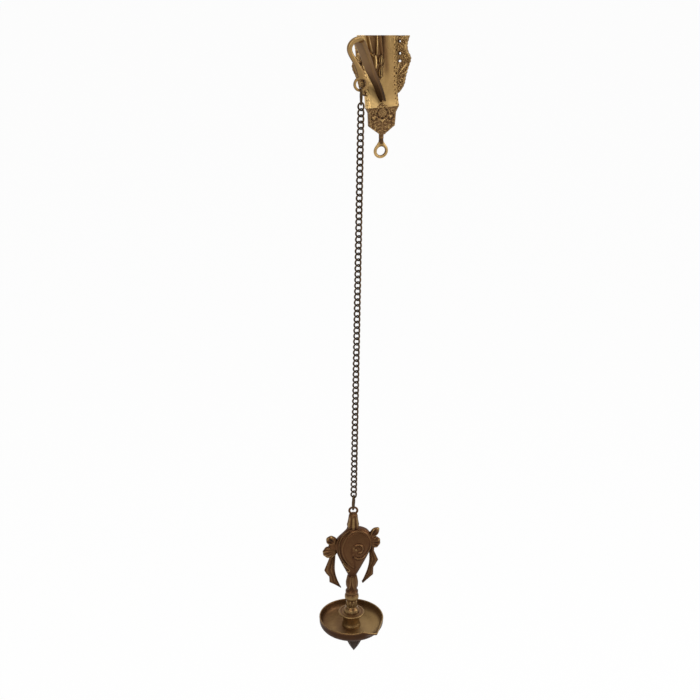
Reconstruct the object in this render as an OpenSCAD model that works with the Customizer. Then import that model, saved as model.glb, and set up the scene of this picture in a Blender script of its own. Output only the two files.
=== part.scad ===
// Hanging chain oil lamp: a cast wall bracket, a curb chain and a conch lamp with a round oil dish.
// The wall is the plane y = 0, the front looks along -Y and +Z is up.
// The origin is on the back of the wall rib, level with the hole that hangs on the wall hook.

/* [Wall plate] */
// Length of the plate along its slope
plate_l = 67.5; // [60:0.5:80]
// Thickness of the plate
plate_t = 3; // [2.5:0.1:4]
// Width of the plate at its lower edge
plate_low_w = 34.2; // [30:0.2:38]
// Width of the plate at its upper edge
plate_top_w = 41.6; // [40:0.5:52]
// Height on the plate where its sides begin to flare
flare_from = 22; // [16:1:30]
// Angle that the plate leans back from upright
lean = 13; // [9:0.5:14]
// Distance from the wall to the front of the plate at its lower edge
fold_out = 25; // [24.5:0.5:30]
// Drop from the wall hole to the plate's lower edge
fold_drop = 52; // [48:1:54]
// Width of the raised border strip
border_w = 2.6; // [2:0.1:3.4]
// Height of the raised border strip
border_h = 0.8; // [0.4:0.1:1.2]

/* [Wall rib] */
// Width of the rib behind the plate
rib_w = 9; // [8:0.5:12]
// Radius of the cross hole for the wall hook
wall_hole_r = 3; // [2:0.1:3.2]
// Height of the rib's lower end above the plate's lower edge
rib_from = 6; // [4:0.5:10]
// Distance from the wall hole to the rib's upper end
rib_above = 9; // [7:0.5:10]

/* [Foot panel and tail eye] */
// Width of the foot panel below its shoulders
foot_w = 28.4; // [24:0.2:30]
// Width of the foot panel at its lower corners
foot_corner_w = 26.6; // [22:0.2:28]
// Height of the sloping shoulders of the foot panel
foot_shoulder = 5.5; // [3:0.5:8]
// Height from the shoulders to the lower corners
foot_side = 13.5; // [10:0.5:18]
// Height of the pointed lower end
foot_point = 8; // [6:0.5:12]
// Thickness of the foot panel
foot_t = 5; // [4.5:0.1:7]
// How far the foot panel stands in front of the plate's lower edge
foot_proud = 1; // [0.5:0.1:2]
// Height of the raised foot ornament
foot_relief = 1; // [0.6:0.1:1.6]
// Length of the stem below the foot panel
tail_stem_l = 8; // [6:0.5:12]
// Radius of the tail stem
tail_stem_r = 2.4; // [2:0.1:2.8]
// Radius of the hole in the tail eye
tail_hole_r = 4.45; // [3:0.05:5.5]
// Radial width of the tail eye around its hole
tail_rim = 3; // [2.2:0.05:3.4]
// Thickness of the tail eye
tail_t = 3.2; // [2.8:0.1:4.5]

/* [Wings] */
// Height on the plate where a wing begins
wing_from = 12; // [9:0.5:15]
// Middle reach of a wing from the plate's side
wing_reach = 11.8; // [8:0.2:13]
// Depth of the waves in a wing's outer edge
wing_wave = 1.6; // [0.6:0.1:2.4]
// Thickness of a wing
wing_t = 2.2; // [1.6:0.1:3]
// Angle that a wing sweeps forward from the plate in its lower half
wing_sweep_low = 20; // [15:1:30]
// Angle that a wing sweeps forward at its upper end
wing_sweep_top = 51; // [35:1:55]
// Radius of the piercings
wing_hole_r = 1.2; // [0.8:0.1:1.4]

/* [Centre relief] */
// Height on the plate where the relief ends in a rounded tongue
relief_from = 26; // [24:0.5:30]
// Distance of the relief's middle line from the plate's, to the right
relief_x = -1.6; // [-4:0.2:2]
// Half width of the relief at the upper edge
relief_half_w = 8; // [7:0.2:10]
// Thickness of the relief's ground
relief_t = 2; // [1.5:0.1:3]
// Radius of the draped folds
fold_r = 1.6; // [1.2:0.1:2]
// Greatest radius of the lotus bud
bud_r = 3.3; // [2.6:0.1:3.8]
// Length of the lotus bud
bud_l = 17; // [14:0.5:20]

/* [Brace arm and crook hook] */
// Distance from the plate's middle to the chain, across
hook_out_x = 30.8; // [28:0.2:36]
// Distance from the wall to the chain
hook_out_y = 45; // [43:0.5:50]
// Height of the hook's eye above the plate's lower edge
eye_up = 31.05; // [28:0.05:34]
// Middle radius of the hook's eye
eye_ring_r = 6.1; // [5.4:0.1:7]
// Radius of the wire of the hook's eye
eye_wire_r = 1.15; // [1:0.05:1.2]
// Height of the crook's root bar above the plate's lower edge
crook_up = 74.4; // [72:0.2:78]
// Radius of the crook's bar
crook_r = 2.5; // [2.2:0.1:2.8]
// Radius of the crook's bend
crook_bend = 7.3; // [6.5:0.1:8]
// Width of the brace arm at its foot
brace_low_w = 6; // [5:0.2:7]
// Width of the brace arm at its top
brace_top_w = 10; // [8:0.2:12]
// Thickness of the brace arm
brace_t = 4.4; // [3.8:0.1:5.5]
// Radius of the brace arm's round foot
brace_foot_r = 3.6; // [3.2:0.1:4.2]
// Height of the brace foot above the plate's lower edge
brace_foot_up = 6; // [5:0.5:9]

/* [Chain] */
// Number of runs that the chain is divided into
chain_runs = 14; // [14:1:14]
// Number of links in a run
run_links = 5; // [4:1:6]
// Distance from one link to the next
link_pitch = 6.15; // [5.8:0.05:6.6]
// Radius of the link's wire
link_wire_r = 0.75; // [0.65:0.01:0.76]
// Half the width of a link, to the middle of its wire
link_half_w = 2.5; // [2.4:0.05:2.8]
// How far a link is twisted out of its plane
link_twist = 1.1; // [1.05:0.05:1.3]
// Radius of the connecting links' wire
connector_wire_r = 0.95; // [0.8:0.05:1]
// Radius of the connecting links' bends, to the middle of the wire
connector_bend = 3.2; // [3:0.05:3.6]
// Distance between the two ends of a connecting link, to the middle of the wire
connector_l = 16.45; // [13:0.05:18]
// Angle that the lower connecting link is turned from edge-on
low_connector_turn = -15; // [-25:1:0]
// Angle that the chain and the lamp are turned about the chain's line
chain_turn = -18; // [-25:1:25]

/* [Lamp] */
// Middle radius of the lamp's eye
lamp_eye_r = 3.6; // [3.4:0.1:4.4]
// Radius of the wire of the lamp's eye
lamp_eye_wire_r = 1.05; // [0.9:0.05:1.1]
// Drop from the lamp's eye to the foot of the crown
crown_drop = 21.5; // [20:0.5:24]
// Radius of the crown at its foot
crown_r = 6.4; // [5.6:0.1:7.2]
// Height of the conch
conch_h = 58.5; // [52:0.5:64]
// Reach of the conch to the left of the lamp's axis
conch_left = 17.4; // [15:0.2:19]
// Reach of the conch to the right of the lamp's axis
conch_right = 20.3; // [18:0.1:22]
// Half depth of the conch
conch_depth = 8.5; // [7:0.1:10]
// Radius of the neck where the conch meets the stem
neck_r = 4.4; // [4:0.1:5]
// Thickness of the sashes
sash_t = 4.4; // [3.6:0.1:5.4]
// Greatest radius of the leaf baluster
baluster_r = 6.3; // [5.6:0.1:7.2]
// Length of the leaf baluster
baluster_l = 24; // [20:0.5:28]
// Radius of the bead ring and of the neck's foot ring
bead_r = 7.7; // [7:0.1:8.6]
// Height of the bead ring
bead_h = 8; // [6:0.5:10]
// Length of the carved neck
carved_l = 15.5; // [13:0.5:18]
// Radius of the base flange
flange_r = 14.2; // [12:0.2:16]
// Thickness of the base flange
flange_t = 2; // [1.6:0.1:3]
// Radius of the pedestal below the flange
pedestal_r = 8.5; // [7.5:0.1:10]
// Height of the pedestal
pedestal_h = 15.5; // [11:0.5:16]
// Radius of the tie rod
rod_r = 2; // [1.6:0.1:2.2]

/* [Dish and finial] */
// Radius of the dish at its rim
dish_r = 35.3; // [31:0.1:42]
// Depth of the dish inside
dish_depth = 10.5; // [8:0.5:12]
// Thickness of the dish
dish_t = 2; // [1.6:0.1:3]
// Radius of the corner between floor and wall
dish_corner = 6; // [4:0.5:6.5]
// Reach of the spout's lip from the dish's axis
spout_reach = 45; // [43:0.5:50]
// Half width of the spout's lip
spout_half_w = 3.2; // [2.8:0.1:4]
// Direction of the spout, turned from the front towards the right
spout_turn = 35; // [0:1:60]
// Radius of the finial where it meets the dish
finial_r = 11.5; // [9:0.1:12]
// Length of the finial
finial_l = 33; // [28:0.5:38]
// Distance that the finial sits off the lamp's axis, to the right
finial_x = 3.4; // [0:0.2:4]

/* [Fits] */
// Radial clearance of pins, shanks and rods in their holes
fit_gap = 0.03; // [0.02:0.01:0.06]
// Clearance between parts that hang in each other
hang_gap = 0.2; // [0.15:0.01:0.25]
// Clearance between a connecting link and the curb link that hangs in it
connector_gap = 0.4; // [0.38:0.01:0.5]
// Clearance between the sashes and the conch
seat_gap = 0.15; // [0.1:0.01:0.3]
// Radius of rivets and small pins
rivet_r = 1.3; // [1:0.05:1.4]

/* [Hidden] */
$fn = 48;
brass = [0.60, 0.46, 0.27];
dark_brass = [0.36, 0.26, 0.16];
chain_brown = [0.27, 0.20, 0.14];
far = 200;

// Distance from the wall to the back of the plate at a height above the wall hole
function plate_back(z) = fold_out - (z + fold_drop) * tan(lean) - plate_t / cos(lean);
// Half width of the plate at a height along its slope
function flare(v) = pow(max(0, v - flare_from) / (plate_l - flare_from), 1.3);
function plate_half_w(v) = plate_low_w / 2 + (plate_top_w - plate_low_w) / 2 * flare(v);
side_steps = 10;
plate_side = [for (i = [0:side_steps]) let (v = plate_l * i / side_steps) [plate_half_w(v), v]];

foot_h = foot_shoulder + foot_side + foot_point;
foot_mid_y = -fold_out - foot_proud + foot_t / 2;
foot_bottom = -fold_drop - foot_h;
tail_shank_r = 1.5;
tail_shank_l = 7;
tail_ring_r = tail_hole_r + tail_rim;
tail_ring_z = foot_bottom - tail_stem_l - tail_ring_r - 2.2;
tail_stem_z = tail_ring_z + tail_hole_r + tail_rim * 0.4;

// Reach of a wing from the plate's side at a height along the slope
wing_wave_l = 27;
wing_peak = 44;
function wing_rise(v) = pow(min(1, (v - wing_from) / 20), 0.75);
function wing_edge(v) = (wing_reach + wing_wave * cos(360 * (v - wing_peak) / wing_wave_l)) * wing_rise(v);
wing_steps = 22;
wing_tie = 4;
wing_flare = atan((plate_top_w - plate_low_w) / 2 / (plate_l - wing_from));
function wing_turn(v) = min(1, max(0, (v - 36) / 16));
function wing_sweep(v) = wing_sweep_low + (wing_sweep_top - wing_sweep_low) * wing_turn(v);
// A wing is a stack of four-cornered sections, each turned forward by its sweep
function wing_section(v) = let (c = cos(wing_sweep(v)), s = sin(wing_sweep(v)))
  [for (p = [[-wing_tie, 0], [wing_edge(v), 0], [wing_edge(v), wing_t], [-wing_tie, wing_t]])
    [p[0] * c + p[1] * s, p[1] * c - p[0] * s, v - wing_from]];
wing_points = [for (i = [0:wing_steps], p = wing_section(wing_from + (plate_l - wing_from) * i / wing_steps)) p];
function wing_index(i, k) = 4 * i + k % 4;
wing_faces = concat(
  [for (i = [0:wing_steps - 1], k = [0:3], half = [0, 1]) half == 0
    ? [wing_index(i, k), wing_index(i + 1, k), wing_index(i + 1, k + 1)]
    : [wing_index(i, k), wing_index(i + 1, k + 1), wing_index(i, k + 1)]],
  [[0, 1, 2, 3]],
  [[for (k = [3:-1:0]) wing_index(wing_steps, k)]]);
wing_holes = [43, 50.5, 62];

// Half width of the centre relief at a height along the slope
function relief_share(v) = (v - relief_from) / (plate_l - relief_from);
function relief_half(v) = relief_half_w * pow(relief_share(v), 0.4);
relief_steps = 12;
relief_side = [for (i = [0:relief_steps])
  let (v = relief_from + (plate_l - relief_from) * pow(i / relief_steps, 1.6)) [relief_half(v), v]];
bud_from = relief_from + 3;

// Middle line of the brace arm, as reach from its foot and height above the plate's lower edge
crook_x = -hook_out_x - 3.9;
brace_foot_y = -fold_out + brace_foot_up * tan(lean);
brace_run = norm([crook_x, -hook_out_y - brace_foot_y]);
brace_turn = atan2(-hook_out_y - brace_foot_y, crook_x);
brace_top = crook_up - 0.6;
brace_rise = brace_top - brace_foot_up;
brace_curve = 1.2;
function brace_at(q) = [brace_run * pow(q, brace_curve), brace_foot_up + brace_rise * q];
function brace_tilt(q) = atan2(brace_rise, brace_run * brace_curve * pow(q, brace_curve - 1));
function brace_off(q, side) =
  brace_at(q) + side * brace_t / 2 * [-sin(brace_tilt(q)), cos(brace_tilt(q))];
brace_steps = 14;
brace_profile = concat([for (i = [0:brace_steps]) brace_off(i / brace_steps, 1)],
  [for (i = [brace_steps:-1:0]) brace_off(i / brace_steps, -1)]);
function brace_half_w(q) = (brace_low_w + (brace_top_w - brace_low_w) * q) / 2;
brace_width_side = [for (i = [0:brace_steps])
  let (q = i / brace_steps) [brace_half_w(q), brace_foot_up + brace_rise * q]];
brace_boss_h = 4;

// Heights of the hook's eye, the chain and the lamp, from the top down
eye_z = eye_up - fold_drop;
crook_z = crook_up - fold_drop;
crook_arc_x = -hook_out_x - 4.4;
crook_arc_z = crook_z - crook_bend;
crook_root_l = 4;
crook_sweep = 112;
crook_end = [crook_arc_x + crook_bend * cos(90 + crook_sweep), crook_arc_z + crook_bend * sin(90 + crook_sweep)];
eye_wire_z = eye_z - eye_ring_r;
top_wire_z = eye_wire_z + eye_wire_r + connector_wire_r + hang_gap;
top_end_z = top_wire_z - connector_l;
link_half_h = link_pitch / 2 + link_wire_r + hang_gap / 2;
first_link_z = top_end_z + connector_wire_r + link_wire_r + connector_gap - link_half_h;
link_count = chain_runs * run_links;
last_link_z = first_link_z - link_pitch * (link_count - 1);
low_wire_z = last_link_z - link_half_h + link_wire_r + connector_wire_r + connector_gap;
low_end_z = low_wire_z - connector_l;
lamp_z = low_end_z + connector_wire_r + lamp_eye_wire_r + hang_gap - lamp_eye_r;

// Heights in the lamp, below its eye
neck_z = -crown_drop - conch_h;
bead_z = neck_z - baluster_l;
carved_z = bead_z - bead_h;
flange_z = carved_z - carved_l;
floor_z = flange_z - flange_t - pedestal_h;
rim_z = floor_z + dish_depth;
under_z = floor_z - dish_t;
tip_z = under_z - finial_l;
shank_r = 2;
shank_l = 10;
tenon_l = 9;
rod_top_z = bead_z + 12;
rod_low_z = under_z - 16;

// A link's wire follows an ellipse whose sides bend out of its plane
link_rings = 14;
link_sides = 6;
function link_at(t) = [link_half_w * cos(t), link_twist * sin(2 * t), link_half_h * sin(t)];
function unit(v) = v / norm(v);
function link_along(t) = unit([-link_half_w * sin(t), 2 * link_twist * cos(2 * t), link_half_h * cos(t)]);
function link_out(t) = let (d = link_along(t), o = [cos(t), 0, sin(t)]) unit(o - (o * d) * d);
function link_skin(t, s) = let (o = link_out(t), b = cross(link_along(t), o))
  link_at(t) + link_wire_r * (cos(s) * o + sin(s) * b);
link_points = [for (i = [0:link_rings - 1], k = [0:link_sides - 1])
  link_skin(360 * i / link_rings, 360 * k / link_sides)];
function link_index(i, k) = (i % link_rings) * link_sides + k % link_sides;
link_faces = [for (i = [0:link_rings - 1], k = [0:link_sides - 1], half = [0, 1]) half == 0
  ? [link_index(i, k), link_index(i + 1, k), link_index(i + 1, k + 1)]
  : [link_index(i, k), link_index(i + 1, k + 1), link_index(i, k + 1)]];

// The conch is a stack of rounded box rings; q runs from its top to the neck
conch_rings = 16;
conch_sides = 28;
conch_top_w = crown_r;
function conch_reach(q, peak, most, rise, fall) = q < peak
  ? conch_top_w + (most - conch_top_w) * pow(sin(90 * q / peak), rise)
  : neck_r + (most - neck_r) * (1 - pow((q - peak) / (1 - peak), fall));
function conch_half_depth(q) = neck_r + (conch_depth - neck_r) * pow(sin(180 * q), 0.8);
function squared(s) = sign(s) * pow(abs(s), 0.7);
function conch_ring(q, grow) = let (l = conch_reach(q, 0.34, conch_left, 1.7, 1.5) + grow,
    r = conch_reach(q, 0.36, conch_right, 0.45, 1.2) + grow, d = conch_half_depth(q) + grow)
  [for (k = [0:conch_sides - 1]) let (a = 360 * k / conch_sides)
    [(r - l) / 2 + (r + l) / 2 * squared(cos(a)), d * squared(sin(a)), -crown_drop - conch_h * q]];
function conch_points(grow) = [for (i = [0:conch_rings], p = conch_ring(i / conch_rings, grow)) p];
function conch_index(i, k) = i * conch_sides + k % conch_sides;
conch_faces = concat(
  [for (i = [0:conch_rings - 1], k = [0:conch_sides - 1], half = [0, 1]) half == 0
    ? [conch_index(i, k), conch_index(i, k + 1), conch_index(i + 1, k + 1)]
    : [conch_index(i, k), conch_index(i + 1, k + 1), conch_index(i + 1, k)]],
  [[for (k = [conch_sides - 1:-1:0]) k]],
  [[for (k = [0:conch_sides - 1]) conch_index(conch_rings, k)]]);
knot_z = [-crown_drop - 23.5, -crown_drop - 13.5];
sash_pin_l = 9;

// Places things in the plate's own frame: x across, y back, z up along the slope from the lower edge
module on_plate() {
  translate([0, -fold_out, -fold_drop]) rotate([-lean, 0, 0]) children();
}

// Raises an outline drawn in x and z to a slab that reaches from y = front to y = back
module slab(front, back) {
  translate([0, back, 0]) rotate([90, 0, 0]) linear_extrude(back - front) children();
}

// An outline given by its right side, closed by its mirror image
module mirrored_outline(side) {
  polygon(concat(side, [for (i = [len(side) - 1:-1:0]) [-side[i][0], side[i][1]]]));
}

module plate_outline() {
  mirrored_outline(plate_side);
}

// A round pin or hole along the plate's normal
module plate_pin(v, front, back, r) {
  on_plate() translate([0, back, v]) rotate([90, 0, 0]) cylinder(r = r, h = back - front);
}

module plate_rivet_pins(extra) {
  for (v = [rib_from + 8, fold_drop / cos(lean) - 12])
    plate_pin(v, 0, plate_t + 4 + extra, rivet_r + extra);
}

module wall_rib() {
  low = rib_from - fold_drop;
  color(dark_brass) difference() {
    translate([-rib_w / 2, 0, 0]) rotate([90, 0, 90]) linear_extrude(rib_w)
      polygon([[0, low], [0, rib_above], [-plate_back(rib_above), rib_above], [-plate_back(low), low]]);
    translate([0, -plate_back(0) / 2, 0]) rotate([0, 90, 0]) cylinder(r = wall_hole_r, h = far, center = true);
    plate_rivet_pins(fit_gap);
  }
}

module back_plate() {
  color(brass) difference() {
    on_plate() {
      slab(0, plate_t) plate_outline();
      slab(-border_h, 0) difference() {
        plate_outline();
        mirrored_outline([for (p = plate_side) [p[0] - border_w, p[1]]]);
      }
    }
    translate([-far / 2, -far / 2, -fold_drop - far]) cube(far);
    plate_rivet_pins(fit_gap);
    plate_pin(brace_foot_up, -far, far, rivet_r + fit_gap);
  }
}

module foot_panel() {
  corner = foot_shoulder + foot_side;
  front = -fold_out - foot_proud;
  color(dark_brass) translate([0, 0, -fold_drop]) difference() {
    union() {
      slab(front, front + foot_t) mirrored_outline([[plate_low_w / 2, 0], [foot_w / 2, -foot_shoulder],
        [foot_corner_w / 2, -corner], [tail_stem_r + 0.4, -foot_h]]);
      slab(front - foot_relief, front) difference() {
        mirrored_outline([[0.01, -1], [foot_w / 4, -foot_shoulder], [foot_w / 5, -corner], [0.01, -corner - 3]]);
        mirrored_outline([[0.01, -3.4], [foot_w / 4 - 1.5, -foot_shoulder - 1], [foot_w / 5 - 1.5, -corner + 1],
          [0.01, -corner]]);
      }
      for (x = [-foot_w / 3, foot_w / 3]) translate([x, front, -foot_shoulder - 5])
        rotate([90, 0, 0]) cylinder(r1 = 3, r2 = 1.4, h = foot_relief);
    }
    translate([0, foot_mid_y, -foot_h - 1]) cylinder(r = tail_shank_r + fit_gap, h = tail_shank_l + 1.5);
  }
}

module tail_eye() {
  color(brass) translate([0, foot_mid_y, 0]) {
    translate([0, 0, foot_bottom - 1]) cylinder(r = tail_shank_r, h = tail_shank_l + 1);
    difference() {
      union() {
        translate([0, 0, tail_stem_z]) cylinder(r = tail_stem_r, h = foot_bottom - tail_stem_z);
        translate([0, 0, tail_ring_z]) slab(-tail_t / 2, tail_t / 2) {
          circle(r = tail_ring_r);
          mirrored_outline([[tail_ring_r * 0.93, tail_ring_r * 0.36], [tail_stem_r - 0.1, tail_ring_r + 2.2]]);
        }
      }
      translate([0, 0, tail_ring_z]) rotate([90, 0, 0]) cylinder(r = tail_hole_r, h = far, center = true);
    }
  }
}

// The right wing starts on the plate's side and turns forward as it rises
module wing() {
  difference() {
    on_plate() translate([plate_half_w(wing_from), 0, wing_from]) rotate([0, wing_flare, 0]) difference() {
      polyhedron(wing_points, wing_faces, convexity = 4);
      for (v = wing_holes) translate([0, 0, v - wing_from]) rotate([0, 0, -wing_sweep(v)])
        translate([wing_reach * 0.18, -far / 2, 0]) rotate([-90, 0, 0]) cylinder(r = wing_hole_r, h = far);
    }
    on_plate() slab(-far / 2, far / 2) polygon(concat([[-far, 0], [-far, plate_l + 20]],
      [[plate_half_w(plate_l), plate_l + 20]], [for (i = [side_steps:-1:0]) plate_side[i]]));
  }
}

module right_wing() {
  color(dark_brass) wing();
}

module left_wing() {
  color(dark_brass) mirror([1, 0, 0]) wing();
}

module centre_relief() {
  color(dark_brass) on_plate() translate([relief_x, 0, 0]) {
    slab(-border_h - relief_t, 0) mirrored_outline(relief_side);
    for (i = [-1.5:1:1.5]) translate([i * relief_half_w * 0.46, -border_h - relief_t, 0]) {
      foot = bud_from + bud_l + 2 + 3 * abs(i);
      translate([0, 0, foot]) cylinder(r = fold_r, h = plate_l - foot);
      translate([0, 0, foot]) sphere(r = fold_r);
    }
  }
}

module lotus_bud() {
  seat = -border_h - relief_t;
  color(brass) on_plate() translate([relief_x, seat, bud_from]) difference() {
    rotate_extrude() polygon(concat([[0, 0]],
      [for (i = [1:11]) let (q = i / 12) [bud_r * pow(sin(180 * pow(q, 0.8)), 0.9), bud_l * q]], [[0, bud_l]]));
    translate([-far / 2, 0, -far / 2]) cube(far);
  }
}

module arm_pins(extra) {
  plate_pin(brace_foot_up, -brace_boss_h - extra, plate_t, rivet_r + extra);
  translate([crook_x, -hook_out_y, crook_z]) rotate([0, 0, brace_turn]) rotate([0, 90 - brace_tilt(1), 0])
    translate([0, 0, -8 - extra]) cylinder(r = rivet_r * 0.7 + extra, h = 8 + crook_r * 0.8 + 2 * extra);
}

module brace_arm() {
  color(dark_brass) difference() {
    union() {
      translate([0, brace_foot_y, -fold_drop]) rotate([0, 0, brace_turn]) intersection() {
        translate([0, brace_top_w, 0]) rotate([90, 0, 0]) linear_extrude(2 * brace_top_w) polygon(brace_profile);
        translate([-far / 2, 0, 0]) rotate([90, 0, 90]) linear_extrude(far) mirrored_outline(brace_width_side);
      }
      plate_pin(brace_foot_up, -brace_boss_h, 0, brace_foot_r);
    }
    on_plate() translate([-far / 2, 0, -far / 2]) cube(far);
    crook_bar(fit_gap);
    translate([crook_arc_x, -hook_out_y, crook_z]) cylinder(r = crook_r + fit_gap, h = far);
    arm_pins(fit_gap);
  }
}

// The crook's root bar and bend; extra widens them to cut their seat in the brace arm
module crook_bar(extra) {
  translate([crook_arc_x, -hook_out_y, crook_z]) rotate([0, 90, 0])
    cylinder(r = crook_r + extra, h = crook_x + crook_root_l - crook_arc_x + (extra > 0 ? far : 0));
  translate([crook_arc_x, -hook_out_y, crook_arc_z]) rotate([90, 0, 0]) rotate([0, 0, 90])
    rotate_extrude(angle = crook_sweep) translate([crook_bend, 0]) circle(r = crook_r + extra);
}

// The crook's bar, bend and tapering shank lie in one plane with the eye
module crook_hook() {
  gap = [-hook_out_x - crook_end[0], eye_z - crook_end[1]];
  reach = norm(gap) - eye_ring_r;
  color(brass) difference() {
    union() {
      crook_bar(0);
      translate([crook_end[0], -hook_out_y, crook_end[1]]) rotate([0, 90 - atan2(gap[1], gap[0]), 0]) {
        cylinder(r1 = crook_r, r2 = eye_wire_r * 1.3, h = reach);
        sphere(r = crook_r);
      }
      translate([-hook_out_x, -hook_out_y, eye_z]) rotate([90, 0, 0]) rotate_extrude()
        translate([eye_ring_r, 0]) circle(r = eye_wire_r);
    }
    arm_pins(fit_gap);
  }
}

module plate_rivets() {
  color(brass) plate_rivet_pins(0);
}

module arm_rivets() {
  color(brass) arm_pins(0);
}

module on_chain() {
  translate([-hook_out_x, -hook_out_y, 0]) rotate([0, 0, chain_turn]) children();
}

// A long connecting link, turned a little from edge-on to the chain's face
module connector(top, turned_by) {
  leg = connector_l - 2 * connector_bend;
  color(chain_brown) on_chain() translate([0, 0, top - connector_bend]) rotate([90, 0, 90 + turned_by]) {
    for (turn = [0, 180]) translate([0, turn == 0 ? 0 : -leg, 0]) rotate([0, 0, turn])
      rotate_extrude(angle = 180) translate([connector_bend, 0]) circle(r = connector_wire_r);
    for (x = [-connector_bend, connector_bend]) translate([x, 0, 0]) rotate([90, 0, 0])
      cylinder(r = connector_wire_r, h = leg);
  }
}

module top_connector() {
  connector(top_wire_z, 0);
}

module bottom_connector() {
  connector(low_wire_z, low_connector_turn);
}

module chain_run(run) {
  color(chain_brown) on_chain() for (i = [0:run_links - 1])
    translate([0, 0, first_link_z - link_pitch * ((run - 1) * run_links + i)])
      polyhedron(link_points, link_faces, convexity = 4);
}

module on_lamp() {
  translate([-hook_out_x, -hook_out_y, lamp_z]) rotate([0, 0, chain_turn]) children();
}

module hanger_eye() {
  crown_top = -lamp_eye_r - lamp_eye_wire_r;
  color(dark_brass) on_lamp() {
    rotate([90, 0, 0]) rotate_extrude() translate([lamp_eye_r, 0]) circle(r = lamp_eye_wire_r);
    difference() {
      rotate_extrude() polygon([[0, crown_top + 1], [2, crown_top + 1], [crown_r * 0.58, crown_top - 2.4],
        [crown_r * 0.62, crown_top - 6], [crown_r, -crown_drop + 2], [crown_r, -crown_drop], [0, -crown_drop]]);
      for (k = [0:9]) rotate([0, 0, 36 * k]) translate([crown_r * 0.98, 0, -crown_drop + 4])
        rotate([0, -13, 0]) cylinder(r = crown_r * 0.16, h = 9);
    }
    translate([0, 0, -crown_drop - shank_l]) cylinder(r = shank_r, h = shank_l + 1);
  }
}

module sash_pin_holes(extra) {
  translate([-conch_left, 0, knot_z[0]]) rotate([0, 90, 0])
    cylinder(r = rivet_r + extra, h = sash_pin_l + 2 * extra, center = true);
  translate([conch_right, 0, knot_z[1]]) rotate([0, 90, 0])
    cylinder(r = rivet_r + extra, h = sash_pin_l + 2 * extra, center = true);
}

module conch_shell() {
  color(dark_brass) on_lamp() difference() {
    polyhedron(conch_points(0), conch_faces, convexity = 4);
    translate([0, 0, -crown_drop - shank_l - 1]) cylinder(r = shank_r + fit_gap, h = shank_l + 2);
    translate([0, 0, neck_z - 1]) cylinder(r = shank_r + fit_gap, h = tenon_l + 2);
    sash_pin_holes(fit_gap);
  }
}

// A sash is two bow lobes on a knot over a ribbon tail with a jagged outer edge; side is 1 for right, -1 for left.
// Lobes list reach from the conch, height from the knot and radius; the tail lists reach and height
module sash(side, reach, knot, lobes, tail) {
  on_lamp() difference() {
    translate([0, 0, knot]) slab(-sash_t / 2, sash_t / 2) {
      for (lobe = lobes) translate([side * (reach + lobe[0]), lobe[1]]) circle(r = lobe[2]);
      translate([side * (reach + 0.7), -1]) square([9, 14], center = true);
      polygon([for (i = [0:len(tail) - 1]) let (p = tail[side > 0 ? len(tail) - 1 - i : i])
        [side * (reach + p[0]), p[1]]]);
    }
    polyhedron(conch_points(seat_gap), conch_faces, convexity = 4);
    sash_pin_holes(fit_gap);
  }
}

left_lobes = [[4.9, 6.8, 6], [6.4, -7, 7]];
left_tail = [[0.7, -11], [7.2, -11], [11.9, -29.2], [8.6, -33.5], [6.2, -44.2], [-6.4, -51.4], [1, -33]];
right_lobes = [[3.2, 8, 6.2], [5, -5.2, 5.8]];
right_tail = [[-2.3, -9], [4.3, -9], [8.4, -26.5], [5, -31], [3.4, -44.9], [-8.2, -55], [-3.8, -35]];

module left_sash() {
  color(dark_brass) sash(-1, conch_left, knot_z[0], left_lobes, left_tail);
}

module right_sash() {
  color(dark_brass) sash(1, conch_right, knot_z[1], right_lobes, right_tail);
}

module sash_pins() {
  color(brass) on_lamp() sash_pin_holes(0);
}

module leaf_baluster() {
  low = neck_z - baluster_l;
  color(dark_brass) on_lamp() difference() {
    union() {
      rotate_extrude() polygon(concat([[0, neck_z], [neck_r, neck_z]],
        [for (i = [1:10]) let (q = i / 10)
          [neck_r + (baluster_r - neck_r) * sin(150 * q), neck_z - baluster_l * 0.75 * q]],
        [[baluster_r * 1.06, low + 3], [baluster_r * 1.06, low], [0, low]]));
      translate([0, 0, neck_z - 1]) cylinder(r = shank_r, h = tenon_l + 1);
    }
    translate([0, 0, low - 1]) cylinder(r = rod_r + fit_gap, h = rod_top_z - low + 1.5);
  }
}

// A turned ring with a hole for the tie rod; profile lists radius and height below its upper face
module turned(top, profile, height) {
  on_lamp() translate([0, 0, top]) difference() {
    rotate_extrude() polygon(concat([[0, 0]], profile, [[0, -height]]));
    translate([0, 0, -height - 1]) cylinder(r = rod_r + fit_gap, h = height + 2);
  }
}

module bead_ring() {
  waist = baluster_r * 0.88;
  color(brass) turned(bead_z, concat([[waist, 0]],
    [for (i = [0:8]) let (a = 90 - 22.5 * i) [waist + (bead_r - waist) * cos(a), (sin(a) - 1) * bead_h / 2]],
    [[waist, -bead_h]]), bead_h);
}

module carved_neck() {
  waist = baluster_r * 0.86;
  color(dark_brass) turned(carved_z, [[waist * 0.94, 0], [waist, -carved_l * 0.2], [waist * 0.9, -carved_l * 0.52],
    [bead_r * 0.86, -carved_l * 0.66], [bead_r, -carved_l * 0.74], [bead_r, -carved_l * 0.9],
    [bead_r * 1.1, -carved_l]], carved_l);
}

module base_flange() {
  height = flange_t + pedestal_h;
  color(brass) turned(flange_z, [[flange_r - 0.6, 0], [flange_r, -0.6], [flange_r, -flange_t],
    [pedestal_r + 1.6, -flange_t - 0.8], [pedestal_r, -flange_t - 3], [pedestal_r, -height + 2],
    [pedestal_r + 1, -height]], height);
}

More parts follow.
